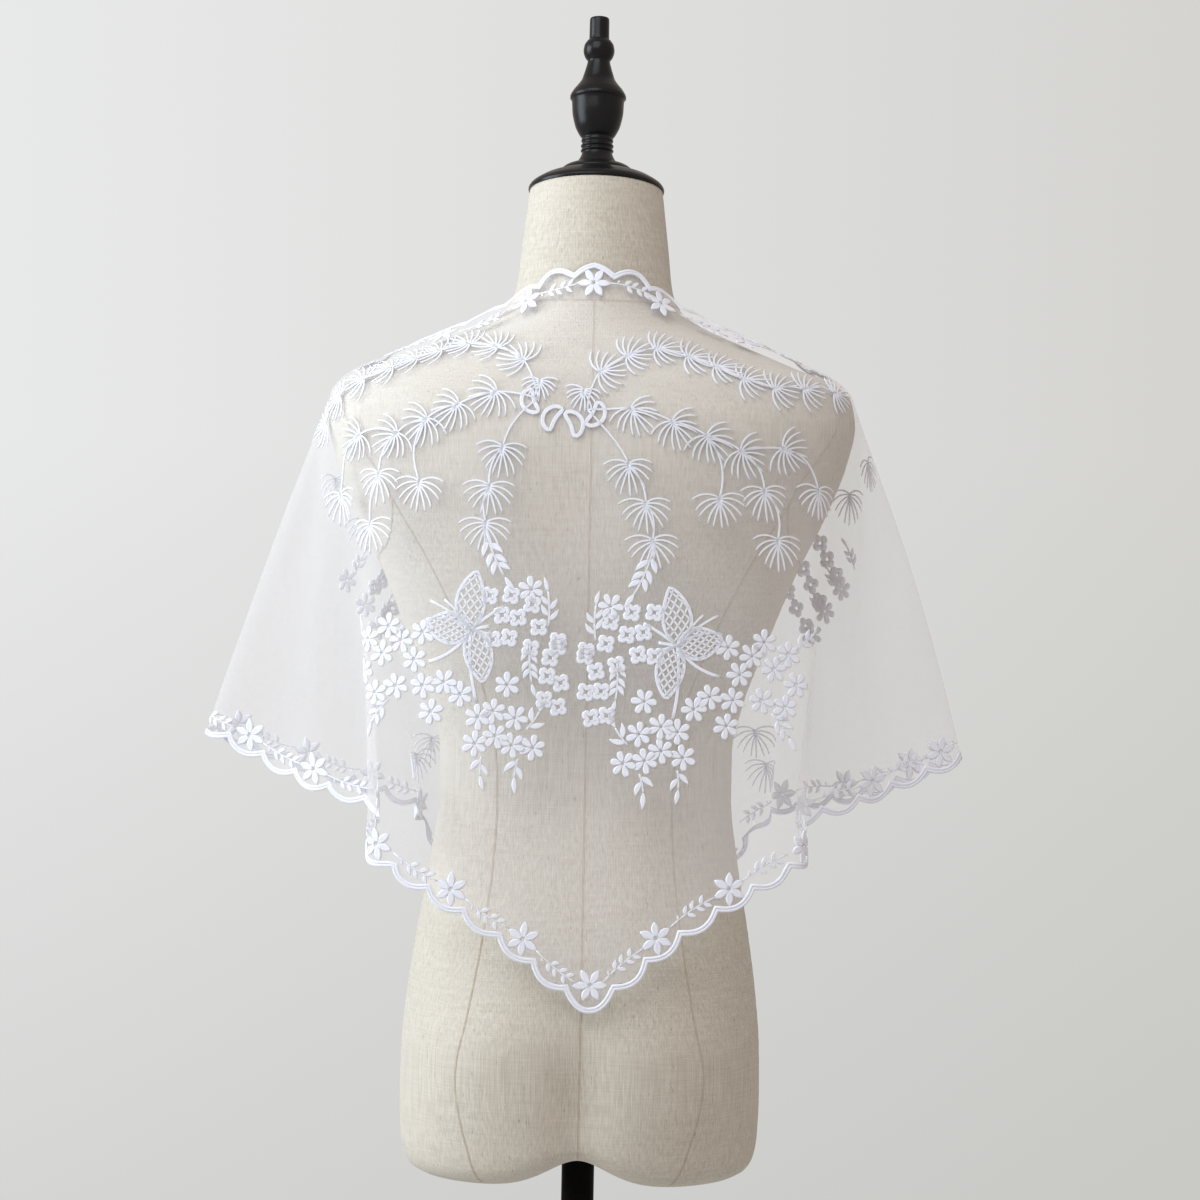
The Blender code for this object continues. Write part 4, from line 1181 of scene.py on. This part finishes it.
def sew_floret(stitches, spot, flip=1):
    """A solid four-petalled flower with an open eye."""
    lobes = 0.5 + 0.5 * np.cos(4 * TURNS)
    path = polar(0.0029 + 0.0018 * lobes, TURNS)
    tilt = math.pi / 4 + 0.22 * math.sin(31 * spot[0] + 17 * spot[1])
    stitches.rib(spot, path, 0.0034 + 0.0030 * lobes, closed=True, turn=tilt, flip=flip)


def sew_plume(stitches, spot, heading, size=1.0, flip=1):
    """A fan of fine curved hairs that spring from a short rib and droop to the way it points."""
    for k in range(PLUME_HAIRS):
        spread = (k / (PLUME_HAIRS - 1) - 0.5) * 2
        off = spread * PLUME_SPREAD
        length = (0.0192 + 0.0018 * abs(spread)) * size * (1 + 0.06 * math.sin(7 * k + 11 * spot[0]))
        start = polar(0.0046 * (1 - abs(spread)) ** 1.2 * size, heading)
        path = straight(start, heading + off, length, -0.62 * off - 0.10 * math.sin(3 * k))
        stitches.rib(spot, path, HAIR * HAIR_WIDTH, flip=flip)


def sew_sprig(stitches, spot, heading, length, leaves, leaf, flip=1):
    """A thin stem with leaves in pairs and one at its tip."""
    stem = straight((0, 0), heading, length, SPRIG_BEND, 17)
    stitches.rib(spot, stem, STEM_WIDTH, flip=flip)
    for k in range(leaves):
        at = 0.22 + 0.66 * (k // 2 * 2 + (k % 2) * 0.7) / max(leaves, 2)
        side = 1 if k % 2 else -1
        way = heading + SPRIG_BEND * at + side * math.radians(54)
        path = straight(stem[int(at * (len(stem) - 1))], way, leaf * (1.10 - 0.3 * at), -side * 0.6)
        stitches.rib(spot, path, LEAF * leaf * 0.38, flip=flip)
    tip = straight(stem[-1], heading + SPRIG_BEND, leaf * 1.05, 0.2)
    stitches.rib(spot, tip, LEAF * leaf * 0.34, flip=flip)


def sew_border_sprig(stitches, spot, heading, flip):
    """The small sprig between two border flowers."""
    start = -polar(BORDER_SPRIG_LENGTH / 2, heading)
    stem = straight(start, heading - 0.16, BORDER_SPRIG_LENGTH, 0.32, 21)
    stitches.rib(spot, stem, 0.0011, flip=flip)
    for k, at in enumerate(BORDER_LEAVES_AT):
        side = 1 if k % 2 else -1
        base = stem[int(at * (len(stem) - 1))]
        path = straight(base, heading + side * math.radians(62), 0.0074, -side * 0.5)
        stitches.rib(spot, path, LEAF * 0.0033, flip=flip)
    bud = straight(stem[4], heading - math.radians(70), 0.0032)
    stitches.rib(spot, bud, 0.0014, flip=flip)


def sew_lattice_leaf(stitches, spot, heading, length, width, bend, flip):
    """A broad leaf: a satin rim filled with a lattice of fine bars."""
    places = np.linspace(0, 1, 25)
    half = width / 2 * np.sin(math.pi * places**0.85) ** 0.8
    spine = straight((0, 0), heading, length, bend, 25)
    facing = heading + bend * places
    aside = np.stack([-np.sin(facing), np.cos(facing)], axis=-1)
    left, right = spine + aside * half[:, None], spine - aside * half[:, None]
    stitches.rib(spot, np.vstack([left, right[::-1][1:-1]]), RIM_WIDTH, closed=True, flip=flip)
    for family in (-1, 1):
        for start in np.arange(-0.9, 1.0, LATTICE_STEP):
            along = np.linspace(0, 1, 60)
            run = start + along
            offset = family * (along - 0.5) * length * 0.72
            kept = np.abs(offset) < np.interp(run, places, half, left=-1, right=-1)
            if kept.sum() < 4:
                continue
            run, offset = run[kept], offset[kept]
            base = np.stack([np.interp(run, places, spine[:, k]) for k in range(2)], axis=-1)
            way = np.stack([np.interp(run, places, aside[:, k]) for k in range(2)], axis=-1)
            stitches.rib(spot, base + way * offset[:, None], STEM_WIDTH, flip=flip)


def sew_wing_flower(stitches, spot, flip=1):
    """Three lattice leaves round one spot, with bent strands between them."""
    for heading, length, width, bend in WING_LEAVES:
        sew_lattice_leaf(stitches, spot, math.radians(heading), length, width, bend, flip)
    for heading, length, bend, width in WING_STRANDS:
        stitches.rib(spot, straight((0, 0), math.radians(heading), length, bend), width, flip=flip)


def sew_front_spray(stitches, spot, flip=1):
    """A sprig with a daisy beyond it."""
    sew_sprig(stitches, spot, math.radians(-60), 0.020, 4, 0.009, flip)
    sew_daisy(stitches, (spot[0] + 0.25, spot[1] + 0.03), flip)


def sew_bean(stitches, spot, turn, flip=1):
    """A bean-shaped ring."""
    dent = 0.0020 * (1 + np.cos(2 * TURNS)) * (np.cos(TURNS) < 0)
    x = 0.0066 * np.cos(TURNS) + dent - 0.0016 * np.sin(TURNS) ** 2
    path = np.stack([x, 0.0096 * np.sin(TURNS)], axis=-1)
    stitches.rib(spot, path, 0.0033, closed=True, turn=turn, flip=flip)


# Places of the right half, in metres right of the shawl's centre line and above the floor, close to those
# in the picture. Plumes are spread evenly along the two longer branches, and florets along their rows.

CENTRE_LINE_TOP = -0.0216
CENTRE_LINE_LEVEL = 1.332
CENTRE_LINE_LEAN = -0.0563
UPPER_BRANCH = ((0.030, 1.366), (0.072, 1.384), (0.112, 1.374), (0.152, 1.358), (0.209, 1.352))
UPPER_PLUMES = 9
MIDDLE_BRANCH = ((0.053, 1.338), (0.084, 1.328), (0.110, 1.316), (0.137, 1.307), (0.166, 1.309))
MIDDLE_PLUMES = 5
BRANCH_ROOT = (0.018, 1.338)
LOWER_BRANCH = ((0.049, 1.295), (0.059, 1.266), (0.066, 1.237))
LOWER_BRANCH_END = (0.066, 1.222)
NAPE_PLUME = (0.015, 1.351)
HANGING_PLUMES = ((0.118, 1.270, 2), (0.150, 1.277, 3), (0.193, 1.278, 4), (0.163, 1.240, None))
BEANS = ((0.008, 1.325, -0.45), (0.024, 1.331, 0.50))
FLORET_ROWS = ((0.062, 1.180, 3), (0.0565, 1.164, 4), (0.064, 1.148, 4))
FLORET_STEP = 0.0152
LOW_FLORETS = ((0.010, 1.146), (0.022, 1.119), (0.0095, 1.117), (0.024, 1.102), (0.011, 1.099))
DAISIES = (
    (0.032, 1.187), (0.053, 1.111), (0.049, 1.089), (0.064, 1.092), (0.080, 1.089), (0.091, 1.106),
    (0.034, 1.063), (0.050, 1.067), (0.065, 1.073), (0.081, 1.070),
    (0.119, 1.155), (0.128, 1.135), (0.104, 1.118), (0.122, 1.115), (0.137, 1.148), (0.116, 1.094),
    (0.149, 1.158), (0.153, 1.138), (0.166, 1.150), (0.171, 1.129), (0.143, 1.116), (0.160, 1.110),
)
WING_FLOWER = (0.080, 1.156)
# Heading in degrees, length, width and bend of each leaf.
WING_LEAVES = ((-84, 0.044, 0.021, -0.45), (-4, 0.034, 0.023, -0.20), (112, 0.040, 0.020, -0.35))
# Heading in degrees, length, bend and width of each strand.
WING_STRANDS = (
    (-58, 0.030, 0.30, 0.0017), (-48, 0.038, 0.42, 0.0017), (-40, 0.036, 0.90, 0.0017),
    (60, 0.040, -0.85, 0.0024), (84, 0.054, 0.35, 0.0024), (-140, 0.030, -0.2, 0.0024),
    (-170, 0.014, 0.0, 0.0024), (165, 0.016, 0.0, 0.0024),
)
# Place, heading in degrees, length, number of leaves and length of a leaf.
SPRIGS = (
    (0.066, 1.228, 106, 0.036, 6, 0.0125), (0.020, 1.158, -98, 0.026, 4, 0.0105),
    (0.036, 1.144, 84, 0.030, 6, 0.0100), (0.046, 1.056, 70, 0.014, 2, 0.0120),
    (0.079, 1.060, 78, 0.014, 2, 0.0110), (0.042, 1.078, -135, 0.016, 2, 0.0120),
    (0.150, 1.104, 40, 0.022, 4, 0.0105), (0.172, 1.152, -50, 0.024, 4, 0.0100),
)
FRONT_PLUMES = ((0.232, 1.300), (0.218, 1.276), (0.138, 1.092), (0.146, 1.066))
FRONT_FLORETS = ((0.205, 1.224), (0.192, 1.205), (0.180, 1.186))


def along_branch(knots, count):
    """Evenly spaced places on a smooth curve through the knots, and its heading at each."""
    knots = np.array(knots)
    steps = np.arange(len(knots))
    fine = np.linspace(0, len(knots) - 1, 200)
    path = np.stack([monotone(steps, knots[:, k])(fine) for k in range(2)], axis=-1)
    reached = reach_along(path)
    even = np.linspace(0, reached[-1], count)
    places = np.stack([np.interp(even, reached, path[:, k]) for k in range(2)], axis=-1)
    way = np.gradient(places, axis=0)
    return places, np.arctan2(-way[:, 1], way[:, 0])


def both_sides(pattern, across, height, sections=BACK_SECTIONS):
    """A place of the right half and its mirror place, each with the way round that its shape is drawn."""
    spot = pattern.seen(across, height, sections)
    return ((spot, 1), (pattern.mirrored(spot), -1))


def sew_both(stitches, pattern, place, sew, *details, sections=BACK_SECTIONS):
    """Sews a shape at a place of the right half and, turned over, at its mirror place."""
    for spot, flip in both_sides(pattern, *place, sections):
        sew(stitches, spot, *details, flip=flip)


def sew_branches(stitches, pattern):
    """Stems of plumes that spread from the nape over the shoulders and hang from there."""
    upper, upper_way = along_branch(UPPER_BRANCH, UPPER_PLUMES)
    middle, middle_way = along_branch(MIDDLE_BRANCH, MIDDLE_PLUMES)
    lower, _ = along_branch(LOWER_BRANCH, len(LOWER_BRANCH))
    chains = [
        [BRANCH_ROOT, *upper], [BRANCH_ROOT, *middle], [BRANCH_ROOT, *lower, LOWER_BRANCH_END],
        *[[middle[link], place] for *place, link in HANGING_PLUMES if link is not None],
        [HANGING_PLUMES[1][:2], HANGING_PLUMES[3][:2]],
    ]
    for chain in chains:
        spots = [both_sides(pattern, *place) for place in chain]
        for before, after in zip(spots, spots[1:]):
            for (start, flip), (end, _) in zip(before, after):
                stitches.stem(start, end, STEM_BOW * flip)
    plumes = [(place, way + 0.15, 0.96) for place, way in zip(upper, upper_way)]
    plumes += [(place, way + 0.75, 1.0) for place, way in zip(middle, middle_way)]
    plumes += [(place, DOWN, 1.0) for place in [*lower, *[place for *place, _ in HANGING_PLUMES]]]
    for place, way, size in [*plumes, (NAPE_PLUME, math.radians(100), 0.72)]:
        sew_both(stitches, pattern, place, sew_plume, way, size)
    for *place, turn in BEANS:
        sew_both(stitches, pattern, place, sew_bean, turn)
    for place in FRONT_PLUMES:
        sew_both(stitches, pattern, place, sew_plume, DOWN, sections=FRONT_SECTIONS)


def sew_bouquets(stitches, pattern):
    """The florets, daisies, lattice leaves and sprigs across the middle of the back."""
    for across, height, count in FLORET_ROWS:
        for k in range(count):
            place = (across - FLORET_STEP * k, height - 0.0016 * k * k + 0.0022 * (k % 2))
            sew_both(stitches, pattern, place, sew_floret)
    for place in LOW_FLORETS:
        sew_both(stitches, pattern, place, sew_floret)
    for place in DAISIES:
        sew_both(stitches, pattern, place, sew_daisy)
    for across, height, heading, *sizes in SPRIGS:
        sew_both(stitches, pattern, (across, height), sew_sprig, math.radians(heading), *sizes)
    sew_both(stitches, pattern, WING_FLOWER, sew_wing_flower)
    for across, height in FRONT_FLORETS:
        for k in range(4):
            place = (across - 0.006 * k, height + 0.0125 * (k - 1))
            sew_both(stitches, pattern, place, sew_floret, sections=FRONT_SECTIONS)
    for across, height in FRONT_FLORETS:
        place = (across + 0.014, height - 0.006)
        sew_both(stitches, pattern, place, sew_front_spray, sections=FRONT_SECTIONS)


def sew_border(stitches, edge, first_inset):
    """Six-petalled flowers along a scalloped edge, with a small sprig between each two."""
    for side in (-1, 1):
        for k in range(0 if side > 0 else 1, edge.scallops(side)[0]):
            spot, heading = edge.spot(edge.crest(side, k), BORDER_INSET if k else first_inset)
            if k % 2 == 0:
                sew_border_flower(stitches, spot, heading)
            else:
                sew_border_sprig(stitches, spot, heading if side > 0 else math.pi - heading, side)


# Light, camera and ground.

# Name, location, target, size, energy and colour.
LAMPS = (
    ("window", (-2.4, -0.35, 1.9), (0, 0, 1.15), (1.6, 1.8), 63, (0.81, 0.92, 1.0)),
    ("ceiling", (-0.7, -1.5, 2.9), (0, 0, 1.25), (1.8, 1.6), 31, (0.91, 0.975, 1.0)),
)
# Colours at the left and right of the backdrop: low on it, and then high on it. They are painted light and
# shade: lighter at the left towards the window and high up, darker to the right and low down.
BACKDROP_PAINTED_LIGHT = (
    ((0.665, 0.665, 0.66), (0.57, 0.575, 0.55)),
    ((0.815, 0.82, 0.82), (0.655, 0.65, 0.63)),
)


def add_camera():
    """At the height of the shoulder blades, level, with the slight lean of the picture."""
    data = bpy.data.cameras.new("camera")
    data.lens = LENS
    camera = linked("camera", data)
    lean = PICTURE_LEAN
    right = Vector((math.cos(lean), 0, math.sin(lean)))
    up = Vector((-math.sin(lean), 0, math.cos(lean)))
    back = Vector((0, -1, 0))
    place = Matrix((right, up, back)).transposed().to_4x4()
    place.translation = EYE
    camera.matrix_world = place
    bpy.context.scene.camera = camera


def add_lamp(name, location, target, size, energy, colour):
    data = bpy.data.lights.new(name, "AREA")
    data.shape = "RECTANGLE"
    data.size, data.size_y = size
    data.energy = energy
    data.color = colour
    lamp = linked(name, data)
    lamp.location = location
    lamp.rotation_euler = (Vector(target) - Vector(location)).to_track_quat("-Z", "Y").to_euler()


def add_surroundings():
    """A pale backdrop all round, with painted light and shade that runs from light at the upper left to
    darker at the right and low down, a soft window on the left, and a pale floor.
    """
    world = bpy.data.worlds.new("room")
    bpy.context.scene.world = world
    world.use_nodes = True
    nodes, link = world.node_tree.nodes, world.node_tree.links.new
    nodes.clear()

    def add(kind, **values):
        node = nodes.new("ShaderNode" + kind)
        for name, value in values.items():
            node.inputs[name.replace("_", " ")].default_value = value
        return node

    out, seen = add("OutputWorld"), add("Background")
    lit = add("Background", Color=(1.0, 0.885, 0.79, 1.0), Strength=0.56)
    mix = add("MixShader")
    link(add("LightPath").outputs["Is Camera Ray"], mix.inputs["Fac"])
    link(lit.outputs[0], mix.inputs[1])
    link(seen.outputs[0], mix.inputs[2])
    link(mix.outputs[0], out.inputs["Surface"])
    # Painted light and shade: the backdrop that the camera sees is lighter at the left and higher up, and
    # darker to the right and low down.
    parts = add("SeparateXYZ")
    link(add("TexCoord").outputs["Generated"], parts.inputs[0])
    sideways = add("MapRange", From_Min=-0.20, From_Max=0.20)
    link(parts.outputs["X"], sideways.inputs["Value"])
    upright = add("MapRange", From_Min=-0.20, From_Max=0.05)
    link(parts.outputs["Z"], upright.inputs["Value"])
    whole = add("MixRGB")
    link(upright.outputs["Result"], whole.inputs["Fac"])
    for socket, (left, right) in zip(("Color1", "Color2"), BACKDROP_PAINTED_LIGHT):
        blend = add("MixRGB", Color1=(*left, 1.0), Color2=(*right, 1.0))
        link(sideways.outputs["Result"], blend.inputs["Fac"])
        link(blend.outputs["Color"], whole.inputs[socket])
    link(whole.outputs["Color"], seen.inputs["Color"])
    for lamp in LAMPS:
        add_lamp(*lamp)
    bpy.ops.mesh.primitive_circle_add(vertices=96, radius=3.2, fill_type="NGON", location=(0, 0, 0))
    floor = bpy.context.object
    floor.name = "floor"
    floor.data.materials.append(floor_finish())


def main():
    add_camera()
    add_surroundings()
    bpy.context.scene.view_settings.view_transform = "Standard"
    wood = black_finish("black_wood", BLACK_WOOD, 0.25, 0.15, 0.20)
    metal = black_finish("black_metal", BLACK_METAL, 0.42, 1.0, 0.05)
    torso = add_torso(linen_finish("linen", LINEN_LIGHT, LINEN_DARK))
    seams = add_seams(linen_finish("seam_linen", SEAM_LIGHT, SEAM_DARK))
    cap, knob, pole, foot = add_stand(wood, metal)

    cloth = Cloth()
    top, hem = Edge(cloth, 0.0), Edge(cloth, 1.0)
    net = add_net(cloth, top, hem, net_finish())
    net.visible_shadow = False  # its threads scatter light onward instead of stopping it
    satin = satin_finish("white_satin", EMBROIDERY)
    hem_band, top_band = add_band("hem_band", hem, satin), add_band("top_band", top, satin)
    pattern = Pattern(cloth)
    branches, bouquets, border = Stitches(cloth), Stitches(cloth), Stitches(cloth)
    sew_branches(branches, pattern)
    sew_bouquets(bouquets, pattern)
    sew_border(border, hem, POINT_INSET)
    sew_border(border, top, BORDER_INSET)
    sewn = [
        branches.made("stitched_branches", satin), bouquets.made("stitched_bouquets", satin),
        border.made("stitched_border", satin),
    ]
    for piece, slot, node in (
        (torso, "linen", "torso"), (seams, "linen", None), (cap, "black_wood", "neck_cap"),
        (knob, "black_wood", "finial"), (pole, "black_metal", "pole"), (foot, "black_metal", "foot"),
        (net, "white_net", "net"), (hem_band, "white_embroidery", "hem_trim"),
        (top_band, "white_embroidery", "top_trim"), *[(piece, "white_embroidery", None) for piece in sewn],
    ):
        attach(piece, "root")
        if node:
            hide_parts(node)


main()
